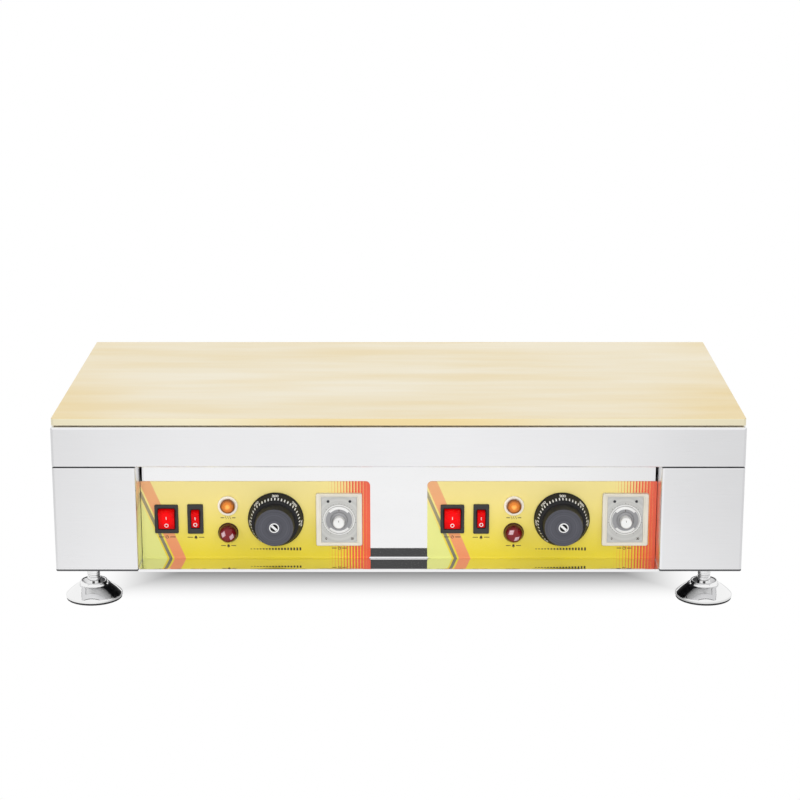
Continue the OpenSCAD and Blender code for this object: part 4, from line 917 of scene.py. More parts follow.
class GRIDDLE_OT_sheet_metal(Operator):
    """Finishes the body's sheet metal and the cooking plate"""

    bl_idname = "griddle.sheet_metal"
    bl_label = "Plate and sheet metal"

    def execute(self, context):
        tint, size, _ = settings()
        brass = toned_brass("plate_brass", tint.brass_pale, tint.brass_warm, tint.brass_edge,
                            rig.box("cooking_plate")[1].z)
        dress(brass, "cooking_plate")
        dress(brushed_metal("band_steel", tint.steel, 0.30), "rim_band", "rear_cover")
        low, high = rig.box("left_casing")
        # the casings get dark lines of painted shade at their foot and along their top
        shade_lines = (low.z + SHADE_LINE_LOW, low.z + SHADE_LINE_HIGH, high.z - SHADE_LINE_TOP)
        dress(brushed_metal("casing_steel", tint.steel, 0.30, shade_lines=shade_lines), *both("{}_casing"))
        self.panel(polished_metal("panel_steel", tint.mirror, 0.03, 0.03), size.ledge_bend)
        dress(dulled_sheet("pan_zinc", tint.pan_bright, tint.pan_dull, size.pan_reach), "base_pan")
        dress(brushed_metal("tray_zinc", (0.45, 0.455, 0.47), 0.42, 160.0, 0.2, 0.3), "insulation_tray")
        dress(woven_fibre("gasket_fibre", (0.30, 0.26, 0.22), 0.9, 700.0), "plate_gasket")
        return {"FINISHED"}

    def panel(self, steel, bend):
        """The panel's sheet, folded more sharply over its ledge than the CAD node."""
        shape = Shape("control_panel")
        face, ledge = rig.box("left_overlay")[1].y, ledge_top()
        moved = 0
        for vert in shape.bm.verts:
            y, z = vert.co.y - (face - CAD_BEND), vert.co.z - (ledge + CAD_BEND)
            if y < -1e-5 or z > 1e-5:
                continue
            for step in (0.0, SHEET_T):
                if abs(math.hypot(y, z) - CAD_BEND - step) < 2e-5:
                    corner = Vector((vert.co.x, face + step, ledge - step))
                    vert.co = corner + (vert.co - corner) * ((bend + step) / (CAD_BEND + step))
                    moved += 1
        if moved < 30:
            raise RuntimeError("the panel's bend wasn't found")
        shape.piece("control_panel_sheet", [steel], "machine", "panel_steel", ["control_panel"], 3.0)


# Printed overlays

FILM_FOOT = 8.0 * MM  # how much of the film's lower end moves down, its rounded corners included
FILM_WRAP, FILM_CUTS = 1.45, 8  # how far the film goes round the bend, in radians, and in how many steps
RAMP_BARS, RAMP_START, RAMP_PITCH = 17, -27.0, 3.3
STROKE_HALF_T = 0.4


class GRIDDLE_OT_overlays(Operator):
    """Prints the overlays: their ground, and the marks under the controls"""

    bl_idname = "griddle.overlays"
    bl_label = "Printed overlays"

    def execute(self, context):
        tint, size, _ = settings()
        ink = moulded_plastic("ink_brown", tint.ink, 0.45, tone=0.2)
        for side in SIDES:
            node = f"{side}_overlay"
            self.film(node, printed_film(f"overlay_print_{side}", *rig.box(node), tint), size.ledge_bend)
            self.print_marks(side, size.mark_t, ink)
        return {"FINISHED"}

    def film(self, node, finish, bend):
        """The printed film, drawn down over the panel's bend."""
        shape = Shape(node)
        bm = shape.bm
        low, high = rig.box(node)
        line, wrap = ledge_top() + bend, FILM_WRAP * bend
        for vert in bm.verts:
            if vert.co.z < low.z + FILM_FOOT:
                vert.co.z -= low.z - line + wrap
        for k in range(FILM_CUTS):
            height = line - wrap * k / FILM_CUTS
            bmesh.ops.bisect_plane(bm, geom=bm.verts[:] + bm.edges[:] + bm.faces[:], dist=1e-7,
                                   plane_co=(0.0, 0.0, height), plane_no=(0.0, 0.0, 1.0))
        for vert in bm.verts:
            angle = (line - vert.co.z) / bend
            if angle > 0.0:
                r = bend - (high.y - vert.co.y)
                vert.co.y, vert.co.z = high.y - bend + r * math.cos(angle), line - r * math.sin(angle)
        shape.piece(f"{node}_film", [finish], "machine", "overlay_print", [node], 20.0)

    def print_marks(self, side, thick, ink):
        """Small signs in place of words, with a stroke on both sides of each."""
        shape = Shape()

        def power(at):
            shape.ring(1.15, 1.65, at, thick, 30.0, 300.0)
            shape.bar(0.25, 0.95, at + mm(z=1.2), thick)

        def bell(at, s=1.15):
            dome = [(1.1 * c, 0.2 + 1.3 * d) for c, d in circle(24)[:13]]
            clapper = [(0.42 * d, 0.42 * c - 1.65) for c, d in circle(10)]
            for points in ([(-1.5, -1.2), (1.5, -1.2), *dome], clapper):
                shape.mark([(u * s, v * s) for u, v in points], at, thick)

        def small_bell(at):
            bell(at, 1.05)

        def heat(at):
            for x in (-2.4, 0.0, 2.4):
                wave = [(x + 0.55 * math.sin(k * math.pi / 4), -1.6 + 0.4 * k) for k in range(9)]
                sides = [(u - 0.24, v) for u, v in wave] + [(u + 0.24, v) for u, v in wave[::-1]]
                shape.mark(sides, at, thick)

        def ramp(at):
            for k in range(RAMP_BARS):
                shape.bar(0.95, 0.35 + 0.085 * k, at + mm(RAMP_START + RAMP_PITCH * k), thick)

        def clock(at):
            shape.ring(1.25, 1.7, at, thick)
            shape.bar(0.2, 0.5, at + mm(z=0.5), thick)
            shape.bar(0.4, 0.18, at + mm(0.4), thick)

        for control, sign, drop, strokes in (
                ("power_switch", power, 4.6, (3.2, 9.0)), ("alarm_switch", bell, 4.4, (3.2, 9.0)),
                ("heat_lamp_lens", heat, 6.2, (4.2, 8.0)), ("alarm_lamp_lens", small_bell, 4.6, (3.0, 8.0)),
                ("temperature_knob", ramp, 4.2, None), ("timer_frame", clock, 4.0, (3.0, 8.0))):
            at = middle(f"{side}_{control}", print_face())
            at.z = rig.box(f"{side}_{control}")[0].z - drop * MM
            sign(at)
            if strokes:
                near, far = strokes
                for shift in (-(near + far) / 2, (near + far) / 2):
                    shape.bar((far - near) / 2, STROKE_HALF_T, at + mm(shift), thick)
        shape.piece(f"{side}_overlay_marks", [ink], "machine", "overlay_print")


# Rocker switches

ROCKER_GAP, ROCKER_RISE, ROCKER_BACK = 0.3 * MM, 4.8 * MM, 3.2 * MM
ROCKER_TILT = math.radians(11.0)
BEZEL_BACK, BEZEL_CORNER, BEZEL_EASE, POCKET_DEEP = -22.0, 1.2, 0.7, 10.5
TAB_HALF_W, TAB_HALF_T, TAB_R, TAB_L, TAB_PITCH = 3.0, 0.4, 0.15, 8.0, 9.0
I_HALF_W, I_HALF_H, I_PLACE = 0.38, 2.0, 0.33  # the places are shares of the rocker's half
O_IN, O_OUT, O_PLACE = 1.45, 2.15, -0.60


class GRIDDLE_OT_rocker_switches(Operator):
    """Models the bezels and rockers, with their I and O marks"""

    bl_idname = "griddle.rocker_switches"
    bl_label = "Rocker switches"

    def execute(self, context):
        tint, size, _ = settings()
        black = moulded_plastic("switch_black", tint.black, 0.30)
        white = moulded_plastic("rocker_mark", tint.white, 0.4, tone=0.04)
        pivots = {j["child"]: Vector(j["pos_m"]) for j in frame["joints"] if j["child"].endswith("rocker")}
        if len(pivots) != 4:
            raise RuntimeError("the frame doesn't have four rockers")
        for side in SIDES:
            for kind, half_w, half_h, tone in (
                    ("power", size.power_open_w / 2, size.power_open_h / 2, 1.0),
                    ("alarm", size.alarm_open_w / 2, size.alarm_open_h / 2, 0.72)):
                self.bezel(f"{side}_{kind}_switch", half_w, half_h, black)
                node = f"{side}_{kind}_rocker"
                red = red_rocker(f"rocker_red_{side}_{kind}", tinted(tint.rocker, tone), middle(node))
                self.rocker(node, pivots[node], half_w - ROCKER_GAP, half_h - ROCKER_GAP, red, white, size)
        return {"FINISHED"}

    def bezel(self, node, half_w, half_h, black):
        """Bezel with softened edges, its pocket, and the body and tabs behind the panel."""
        centre = middle(node, print_face())
        front = (centre.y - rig.box(node)[0].y) / MM
        edge = [(-d, BEZEL_CORNER - d / 2, front - drop) for d, drop in eased(BEZEL_EASE)]
        shape = Shape().stack([
            *framed(half_w, half_h, (1.5, 0.3, BEZEL_BACK), (1.5, 0.3, 0.0)),
            *framed(*half_sizes(node), (0.0, BEZEL_CORNER, 0.0), *edge),
            *framed(half_w, half_h, (1.1, 0.8, front), (0.25, 0.5, front - 0.45), (0.0, 0.3, front - 0.9),
                    (0.0, 0.3, front - POCKET_DEEP))], centre)
        tab = rounded_rectangle(TAB_HALF_W * MM, TAB_HALF_T * MM, TAB_R * MM, 2)
        for z in (-TAB_PITCH, 0.0, TAB_PITCH):
            shape.stack([(tab, (BEZEL_BACK + 0.1) * MM), (tab, (BEZEL_BACK - TAB_L) * MM)], centre + mm(z=z))
        shape.piece(f"{node}_body", [black], "machine", "switch_black", [node])

    def rocker(self, node, pivot, half_w, r, red, white, size):
        """Rocker in its off position: two flat halves that meet in a shallow V, with rounded edges."""
        def face(z):
            return ROCKER_RISE + abs(z) * math.tan(ROCKER_TILT)

        tip = next(z for z in (r - k * 0.02 * MM for k in range(600)) if math.hypot(z, face(z)) <= r)
        first, last = math.atan2(tip, face(tip)), math.acos(-ROCKER_BACK / r)
        arc = [first + (last - first) * k / 10 for k in range(1, 11)]
        half = [(face(tip), tip)] + [(r * math.cos(a), r * math.sin(a)) for a in arc]
        section = [(face(0.0), 0.0), *half, *((h, -z) for h, z in reversed(half))]
        block = Shape().skin([[(x, -h, z) for h, z in section] for x in (-half_w, half_w)])
        bmesh.ops.recalc_face_normals(block.bm, faces=block.bm.faces)
        sharp = [e for e in block.bm.edges if e.calc_face_angle(0.0) > math.radians(35)]
        bmesh.ops.bevel(block.bm, geom=sharp, offset=size.edge, segments=3, affect="EDGES", profile=0.5)
        swing = Matrix.Translation(pivot) @ Matrix.Rotation(ROCKER_TILT, 4, "X")
        moulding = Shape().take(block.mesh(node), swing)
        moulding.piece(f"{node}_moulding", [red], node, "rocker_red", [node], 25.0)
        stroke = Shape().bar(I_HALF_W, I_HALF_H, Vector(), size.mark_t)
        ring = Shape().ring(O_IN, O_OUT, Vector(), size.mark_t, steps=32)
        marks = Shape()
        for sign, share in ((stroke, I_PLACE), (ring, O_PLACE)):
            at = Matrix.Translation((0.0, -face(share * tip), share * tip))
            lean = Matrix.Rotation(math.copysign(ROCKER_TILT, share), 4, "X")
            marks.take(sign.mesh("mark"), swing @ at @ lean)
        marks.piece(f"{node}_marks", [white], node, "rocker_red")


# Pilot lamps

LAMP_BARREL = ((5.0, -26.0), (6.5, -26.0), (6.5, 0.0))
HEAT_RING = ((10.8, 0.0, 0.3), (10.8, 2.9, 1.1), (9.6, 3.2, 0.8), (8.4, 2.9, 0.5), (7.9, 2.2), (5.0, 2.2))
ALARM_RING = ((11.0, 0.0, 0.2), (11.0, 1.6, 0.5), (10.5, 1.6), (10.5, 0.6), (5.0, 0.6))
HEAT_R, HEAT_SEAT, ALARM_R, ALARM_SEAT = 7.7, 2.25, 10.3, 0.65
STEM_R, STEM_BACK = 4.9, -9.0
# angles of the painted highlights on the alarm lenses
ALARM_HIGHLIGHT_TURNS = {"left": math.radians(-17.0), "right": math.radians(-51.0)}


class GRIDDLE_OT_lamps(Operator):
    """Models the pilot lamps: rings, bases and lenses"""

    bl_idname = "griddle.lamps"
    bl_label = "Pilot lamps"

    def execute(self, context):
        tint = settings()[0]
        cream = moulded_plastic("lamp_ring", tint.cream, 0.28, tone=0.05)
        dark = moulded_plastic("lamp_base", tinted(tint.ruby, 0.2), 0.35)
        ribbed = [(HEAT_R * c + (0.12 if k % 2 else -0.10), 4.2 + 3.3 * s)
                  for k, (c, s) in enumerate(circle(48)[:12])]
        domed = [(ALARM_R * c ** 0.85, 1.6 + 10.9 * s ** 0.95) for c, s in circle(80)[:20]]
        heat_dome = [(HEAT_R, HEAT_SEAT), *ribbed, (0.0, 7.5)]
        alarm_dome = [(ALARM_R, ALARM_SEAT), *domed, (0.0, 12.5)]
        rings, bases = Shape(), Shape()
        for side in SIDES:
            lamp = f"{side}_heat_lamp"
            at = middle(f"{lamp}_lens", print_face())
            rings.turn(outline(*LAMP_BARREL, *HEAT_RING), at, ring_shaped=True)
            amber = lamp_lens(f"lens_amber_{side}", at, HEAT_R * MM, tint.amber, 1.0)
            self.glass(lamp, at, heat_dome, amber, "lens_amber", 20.0)
            lamp = f"{side}_alarm_lamp"
            at = middle(f"{lamp}_lens", print_face())
            bases.turn(outline(*LAMP_BARREL, *ALARM_RING), at, ring_shaped=True)
            ruby = lamp_lens(f"lens_ruby_{side}", at, ALARM_R * MM, tint.ruby, 0.0, ALARM_HIGHLIGHT_TURNS[side])
            self.glass(lamp, at, alarm_dome, ruby, "lens_red", 32.0)
        rings.piece("heat_lamp_rings", [cream], "machine", "lamp_ring", ["heat_lamp_holders"])
        bases.piece("alarm_lamp_bases", [dark], "machine", "lamp_base", ["alarm_lamp_holders"])
        return {"FINISHED"}

    def glass(self, lamp, at, dome, finish, slot, crease):
        """Lens with its stem in the barrel, and its dome from the seat up."""
        seat = dome[0][1]
        profile = outline((0.0, STEM_BACK), (STEM_R, STEM_BACK), (STEM_R, seat), *dome)
        Shape().turn(profile, at).piece(f"{lamp}_glass", [finish], "machine", slot, [f"{lamp}_lens"], crease)


# Temperature dials

DIAL_FOOT, DIAL_TOP = Vector((29.2, 2.4)), Vector((25.3, 13.8))
DIAL_PROFILE = ((3.05, 0.0), (30.0, 0.0, 0.5), (30.0, 1.5, 0.5), (*DIAL_FOOT, 0.6), (*DIAL_TOP, 0.6),
                (24.4, 14.7, 0.5), (22.2, 15.0, 0.5), (21.6, 16.4, 0.5), (20.4, 31.0, 1.8), (18.6, 31.0, 0.2),
                (18.3, 30.6, 0.2), (7.0, 30.6, 0.2), (6.7, 31.0, 0.2), (5.55, 31.0), (5.55, 28.4),
                (3.05, 28.4))
DIAL_SLOPE = math.atan2(DIAL_TOP.y - DIAL_FOOT.y, DIAL_FOOT.x - DIAL_TOP.x)
DIAL_START, DIAL_STEP = math.radians(-142.5), math.radians(47.5)
DIAL_NUMERALS = ("50", "100", "150", "200", "250", "300")
CAP_RING = ((0.0, 0.0), (5.45, 0.0), (5.45, 2.9, 0.5), (4.7, 3.2, 0.3), (4.1, 2.9, 0.2), (3.95, 1.2),
            (0.0, 1.2))
CAP_TURN = Matrix.Rotation(math.radians(-42.0), 2)
CAP_BAR_HALF_L, CAP_BAR_HALF_W, CAP_BAR_R = 3.9 * MM, 1.3 * MM, 0.2 * MM
DIAL_FACE_LOW, DIAL_FACE_IN = 29.5 * MM, 5.6 * MM
CAP_WELL_TOP, CAP_WELL_R = 2.4 * MM, 4.05 * MM


class GRIDDLE_OT_temperature_dials(Operator):
    """Models the temperature dials, with their ticks and numerals"""

    bl_idname = "griddle.temperature_dials"
    bl_label = "Temperature dials"

    def execute(self, context):
        tint, size, _ = settings()
        black = moulded_plastic("dial_black", tint.black, 0.48, Specular_IOR_Level=0.16)
        white = moulded_plastic("dial_white", tint.white, 0.45, tone=0.05)
        chrome = polished_metal("cap_chrome", tint.chrome, 0.06)
        ticks = bar_ring()
        for side in SIDES:
            node, body = f"{side}_temperature_knob", f"{side}_temperature_dial"
            centre = middle(node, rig.box(node)[1].y)
            face = turned_face(f"dial_face_{side}", tint.dial_face, centre, 0.45, 0.36, 0.5)
            dial = Shape().turn(outline(*DIAL_PROFILE), centre, around=96, ring_shaped=True,
                                finish=lambda r, h: int(h > DIAL_FACE_LOW and r > DIAL_FACE_IN))
            dial.piece(f"{side}_dial", [black, face], body, "dial_black", [node])
            self.scale(f"{side}_dial_scale", body, centre, ticks, white, size)
            self.cap(f"{side}_knob_cap", body, chrome, black)
            dress(chrome, f"{side}_thermostat_shaft")
        return {"FINISHED"}

    def scale(self, name, body, centre, ticks, white, size):
        """Ticks and numerals on the dial's sloping skirt."""
        def on_skirt(r):
            out = DIAL_FOOT.y * MM + (DIAL_FOOT.x * MM - r) * math.tan(DIAL_SLOPE)
            return Matrix.Translation(centre - Vector((0.0, out, 0.0)))

        thick, sweep = 2 * size.mark_t, DIAL_STEP * (len(DIAL_NUMERALS) - 1)
        prints = Shape().take(ticks.grow(
            Count=size.tick_count, Radius=size.tick_r - size.tick_l / 2, Start=DIAL_START, Sweep=sweep,
            Length=size.tick_l, Width=size.tick_w, Height=thick, Tilt=-DIAL_SLOPE, Finish=white),
            on_skirt(size.tick_r))
        lean = Matrix.Translation((0.0, 0.0, size.numeral_r)) @ Matrix.Rotation(-DIAL_SLOPE, 4, "X") @ OUT
        for k, text in enumerate(DIAL_NUMERALS):
            turn = Matrix.Rotation(DIAL_START + DIAL_STEP * k, 4, "Y")
            prints.take(numeral(text, size.numeral_h, thick), on_skirt(size.numeral_r) @ turn @ lean)
        prints.piece(name, [white], body, "dial_black")

    def cap(self, node, body, chrome, black):
        """Chrome cap: a ring round a dark well that a bar crosses."""
        centre = middle(node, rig.box(node)[1].y)
        shape = Shape().turn(outline(*CAP_RING), centre, around=48,
                             finish=lambda r, h: int(h < CAP_WELL_TOP and r < CAP_WELL_R))
        flat = rounded_rectangle(CAP_BAR_HALF_L, CAP_BAR_HALF_W, CAP_BAR_R, 2)
        bar = [CAP_TURN @ Vector(p) for p in flat]
        shape.stack([(bar, 1.1 * MM), (bar, 2.6 * MM), ([p * 0.96 for p in bar], 2.75 * MM)], centre)
        shape.piece(f"{node}_plated", [chrome, black], body, "cap_metal", [node])


# Timers

FACE_RIM = 0.6  # how far the rim round the timer's face stands out
FACE_RING, FACE_SWEEP = (15.75, 16.75), math.radians(300.0)
FACE_TICK_R, FACE_TICK_L, FACE_TICK_W = 17.3, 0.75, 0.28
FACE_NUMERALS, FACE_NUMERAL_Z, FACE_NUMERAL_H = (("0", -14.0), ("30", 14.0)), -21.6, 2.6
PIP = ((0.0, -0.2), (1.55, -0.2), (1.55, 0.25, 0.1), (1.2, 0.3), (1.1, 0.7, 0.4), (0.0, 0.95))
PIP_X, PIP_Z = 11.7, 20.4
DISC_TOP, DISC_WHITE_R = 2.1, 12.1
DISC = ((0.0, -13.7), (2.0, -13.7), (2.0, 0.3), (15.0, 0.3, 0.2), (15.0, 1.3, 0.4), (14.2, DISC_TOP, 0.3),
        (12.2, DISC_TOP), (12.0, 1.9), (9.4, 1.9, 0.3), (8.7, 3.0, 0.3), (7.4, 3.4, 0.3), (6.3, 4.4),
        (0.0, 4.4))
WING_IN, WING_OUT, WING_SWEEP, WING_STARTS = 11.95, 14.3, 84.0, (48.0, 228.0)
KNOB = ((0.0, 4.35), (6.1, 4.35, 0.2), (6.1, 12.8, 0.9), (5.0, 14.0, 0.7), (3.4, 13.75, 0.5), (0.0, 13.7))
POINTER = ((0.3, 1.1, 1.9, 10.8), (0.25, 1.0, 13.7, 2.2))  # each bar's half sizes, how far out and how high


class GRIDDLE_OT_timers(Operator):
    """Models the timers: frames, faces, scales and turning discs"""

    bl_idname = "griddle.timers"
    bl_label = "Timers"

    def execute(self, context):
        tint, size, _ = settings()
        ivory = moulded_plastic("timer_ivory", tint.ivory, 0.34, tone=0.04)
        white = moulded_plastic("timer_white", tint.white, 0.30, tone=0.04)
        dark = moulded_plastic("timer_ink", tint.ink, 0.5)
        pip = moulded_plastic("timer_pip", (0.03, 0.03, 0.035), 0.12)
        ticks = bar_ring()
        for side in SIDES:
            self.frame(f"{side}_timer_frame", size, ivory)
            case = f"{side}_timer_case"
            face = middle(case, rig.box(case)[0].y + FACE_RIM * MM)
            dress(turned_face(f"timer_grey_{side}", tint.timer_grey, face, 0.25, 0.42), case)
            self.face_marks(f"{side}_timer", face, size, ticks, white, dark, pip)
            grey = turned_face(f"timer_disc_{side}", tint.disc_grey, face, 0.55, 0.36)
            self.dial(f"{side}_timer", face, size.mark_t, grey, white, dark)
        return {"FINISHED"}

    def frame(self, node, size, ivory):
        """Moulded frame with a stepped window."""
        low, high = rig.box(node)
        front, corner = (high.y - low.y) / MM, 2.0
        edge = [(-d, corner, front - drop) for d, drop in eased(1.0)]
        Shape().stack([
            *framed(*half_sizes(node), (0.0, corner, 0.0), *edge),
            *framed(size.window_w / 2, size.window_h / 2, (2.3, 1.0, front), (1.7, 0.8, front - 0.25),
                    (1.5, 0.7, front - 1.2), (0.25, 0.5, front - 1.25), (0.0, 0.4, front - 1.5),
                    (0.0, 0.4, 0.0))], middle(node, high.y), ring_shaped=True).piece(
            f"{node}_moulding", [ivory], "machine", "timer_ivory", [node])

    def face_marks(self, timer, face, size, ticks, white, dark, pip):
        """Pale ring, scale, end numerals and two signal lamps on the face."""
        thick = size.mark_t
        ring = Shape().ring(*FACE_RING, face - mm(y=FACE_RIM), thick, steps=72)
        ring.piece(f"{timer}_ring", [white], "machine", "timer_white")
        scale = Shape().take(ticks.grow(
            Count=size.timer_ticks, Radius=FACE_TICK_R * MM, Start=-FACE_SWEEP / 2, Sweep=FACE_SWEEP,
            Length=FACE_TICK_L * MM, Width=FACE_TICK_W * MM, Height=4 * thick, Every=5, Extra=1.0,
            Finish=dark), Matrix.Translation(face))
        for text, x in FACE_NUMERALS:
            at = Matrix.Translation(face + mm(x, 0.0, FACE_NUMERAL_Z))
            scale.take(numeral(text, FACE_NUMERAL_H * MM, 2 * thick), at @ OUT)
        scale.piece(f"{timer}_scale", [dark], "machine", "timer_grey")
        pips = Shape()
        for x in (-PIP_X, PIP_X):
            pips.turn(outline(*PIP), face + mm(x, 0.0, PIP_Z), around=24)
        pips.piece(f"{timer}_pips", [pip], "machine", "switch_black")

    def dial(self, timer, face, thick, grey, white, dark):
        """Turning disc with its hub, white knob and pointer."""
        body = f"{timer}_dial"
        disc = Shape().turn(outline(*DISC), face, finish=lambda r, h: int(r > DISC_WHITE_R * MM))
        disc.piece(f"{timer}_disc", [grey, white], body, "timer_grey", [body])
        wings = Shape()
        for start in WING_STARTS:
            wings.ring(WING_IN, WING_OUT, face - mm(y=DISC_TOP), thick, start, WING_SWEEP)
        wings.piece(f"{timer}_wings", [grey], body, "timer_grey")
        Shape().turn(outline(*KNOB), face).piece(f"{timer}_knob", [white], body, "timer_white")
        pointer = Shape()
        for half_w, half_h, out, z in POINTER:
            pointer.bar(half_w, half_h, face + mm(0.0, -out, z), 2 * thick)
        pointer.piece(f"{timer}_pointer", [dark], body, "timer_grey")


# Levelling feet

SOLE_T = 2.2
BELL_SOLE = ((0.0, 0.0), (29.9, 0.0, 0.3), (30.0, SOLE_T), (30.5, 2.3, 0.2), (30.5, 4.2))
BELL_BULGE = [(30.3 - 13.1 * t + 1.0 * t * (1 - t), 4.8 + 10.6 * t + 1.9 * t * (1 - t))
              for t in (k / 14 for k in range(15))]
BELL_COLLAR = ((15.9, 15.5, 0.4), (15.3, 17.2, 1.6), (14.0, 19.5, 1.0), (12.9, 19.2, 0.5), (12.4, 18.6, 0.4))
BELL_SOCKET = ((7.05, 18.5), (7.05, 8.05), (9.25, 8.05), (9.25, 3.95), (0.0, 3.95))
ROD_FOOT = ((0.0, 4.0), (9.2, 4.0), (9.2, 8.0), (7.0, 8.0), (7.0, 22.9, 0.3), (6.6, 23.4))
THREAD_R, THREAD_LOW, THREAD_TOP = 6.6, 23.6, 1.8


class GRIDDLE_OT_feet(Operator):
    """Models the levelling feet: bell pads and threaded stems"""

    bl_idname = "griddle.feet"
    bl_label = "Levelling feet"

    def execute(self, context):
        tint, size, _ = settings()
        chrome = polished_metal("foot_chrome", tint.chrome, 0.035, 0.04)
        # the bell is dark from the floor up to SOLE_T
        dark_sole = moulded_plastic("sole_rubber", tint.black, 0.7, 600.0)
        thread = screw_thread()
        bell = outline(*BELL_SOLE, *BELL_BULGE, *BELL_COLLAR, *BELL_SOCKET, steps=6)
        for foot in FEET:
            pad, stem = f"{foot}_foot_pad", f"{foot}_foot_stem"
            centre = middle(pad)
            centre.z = 0.0
            Shape().turn(bell, centre, "UP", 96, finish=lambda r, h: int(h < (SOLE_T + 0.02) * MM)).piece(
                f"{pad}_bell", [chrome, dark_sole], pad, "foot_chrome", [pad])
            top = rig.box(stem)[1].z / MM
            rod = outline(*ROD_FOOT, (THREAD_R, top - THREAD_TOP), (5.3, top), (0.0, top))
            rise = (top - THREAD_TOP - THREAD_LOW) * MM
            Shape().turn(rod, centre, "UP", 48).take(
                thread.grow(Radius=THREAD_R * MM, Turns=rise / size.thread_pitch, Rise=rise,
                            Ridge=size.thread_h, Finish=chrome),
                Matrix.Translation(centre + mm(z=THREAD_LOW))).piece(
                f"{stem}_rod", [chrome], stem, "foot_chrome", [stem])
        dress(brushed_metal("foot_zinc", (0.66, 0.66, 0.68), 0.34, 300.0), "foot_nuts")
        return {"FINISHED"}


# Screws

SHANK = ((1.7, 4.0), (2.0, 3.7), (2.0, 0.0))
HEAD = ((3.8, 0.0), (3.8, -0.7), (3.55, -1.4), (2.9, -2.1), (2.35, -2.35))
HEAD_H = 2.4
CROSS_L, CROSS_W, CROSS_FLOOR = 2.1, 0.5, 1.1
SCREW_TWIST = 37.0  # from each screw's cross to the next one's, in degrees


class GRIDDLE_OT_fasteners(Operator):
    """Sets a cross-head screw at every screw place"""

    bl_idname = "griddle.fasteners"
    bl_label = "Screws"

    def execute(self, context):
        zinc = brushed_metal("screw_zinc", (0.72, 0.72, 0.74), 0.26, 500.0)
        screw = self.screw(zinc)
        places = self.places()
        spots = bpy.data.meshes.new("screw_places")
        spots.from_pydata([p for p, _ in places], [], [])
        turn = spots.attributes.new("turn", "FLOAT_VECTOR", "POINT")
        for k, (_, angle) in enumerate(places):
            turn.data[k].vector = angle
        made = scatter().grow(spots, Part=screw, Finish=zinc)
        bpy.data.objects.remove(screw)
        Shape().take(made, Matrix()).piece("casing_screw_heads", [zinc], "machine", "zinc", ["casing_screws"])
        return {"FINISHED"}

    def screw(self, zinc):
        """One screw along +Z from the underside of its head, with a cross in the head."""
        def ring(r, h):
            """A circle, or the cross where no radius is given."""
            points = []
            for c, s in circle(48):
                u, v = max(abs(c), 1e-6), max(abs(s), 1e-6)
                reach = r or max(min(CROSS_L / u, CROSS_W / v), min(CROSS_W / u, CROSS_L / v))
                points.append(mm(reach * c, reach * s, h))
            return points

        rings = [ring(r, h) for r, h in (*SHANK, *HEAD, (None, -HEAD_H), (None, -CROSS_FLOOR))]
        mesh = Shape().skin(rings).mesh("screw")
        mesh.materials.append(zinc)
        return new_object("screw", mesh)

    def places(self):
        """Screw places by the CAD node's own shells: under the pan, under the band and on the rear cover."""
        bm = Shape("casing_screws").bm
        left, found = set(bm.verts), []
        while left:
            stack, shell = [left.pop()], []
            while stack:
                vert = stack.pop()
                shell.append(vert.co.copy())
                near = {edge.other_vert(vert) for edge in vert.link_edges} & left
                left -= near
                stack += near
            low, high = (Vector([end(p[i] for p in shell) for i in range(3)]) for end in (min, max))
            size, mid = high - low, (low + high) / 2
            upright = size.z > size.x - 1e-6 and abs(size.x - size.y) < 1e-4
            spot = (mid.x, mid.y, low.z + HEAD_H * MM) if upright else (mid.x, high.y - HEAD_H * MM, mid.z)
            found.append(([round(c, 6) for c in spot], upright))
        bm.free()
        if len(found) < 10:
            raise RuntimeError("too few screw places were found")
        twists = [math.radians(SCREW_TWIST * k) for k in range(len(found))]
        return [(spot, (0.0, 0.0, twist) if upright else (math.pi / 2, twist, 0.0))
                for twist, (spot, upright) in zip(twists, sorted(found))]


# Cable glands

GLAND_BODY = ((5.0, 12.4), (9.9, 12.4, 0.4), (9.9, -6.0), (11.0, -6.0, 0.3), (11.0, -19.0, 0.8),
              (8.4, -24.4, 1.0), (6.4, -25.0, 0.4), (5.6, -24.4), (5.0, -23.6))
GLAND_SEAL = ((5.0, -14.0), (5.55, -14.0), (5.55, -23.8), (5.0, -23.8))
HEX_FLAT, HEX_TIP, HEX_END, HEX_CHAMFER = 12.0, 14.0, 12.3, 0.8
HEXAGONS = ((0.0, -6.0, 5.05), (6.5, 1.5, 10.05))  # where each starts and ends, and its hole's radius
RIB_R, RIB_L, RIB_W, RIB_H, RIB_BEHIND = 10.7, 0.9, 1.3, 10.0, 12.6


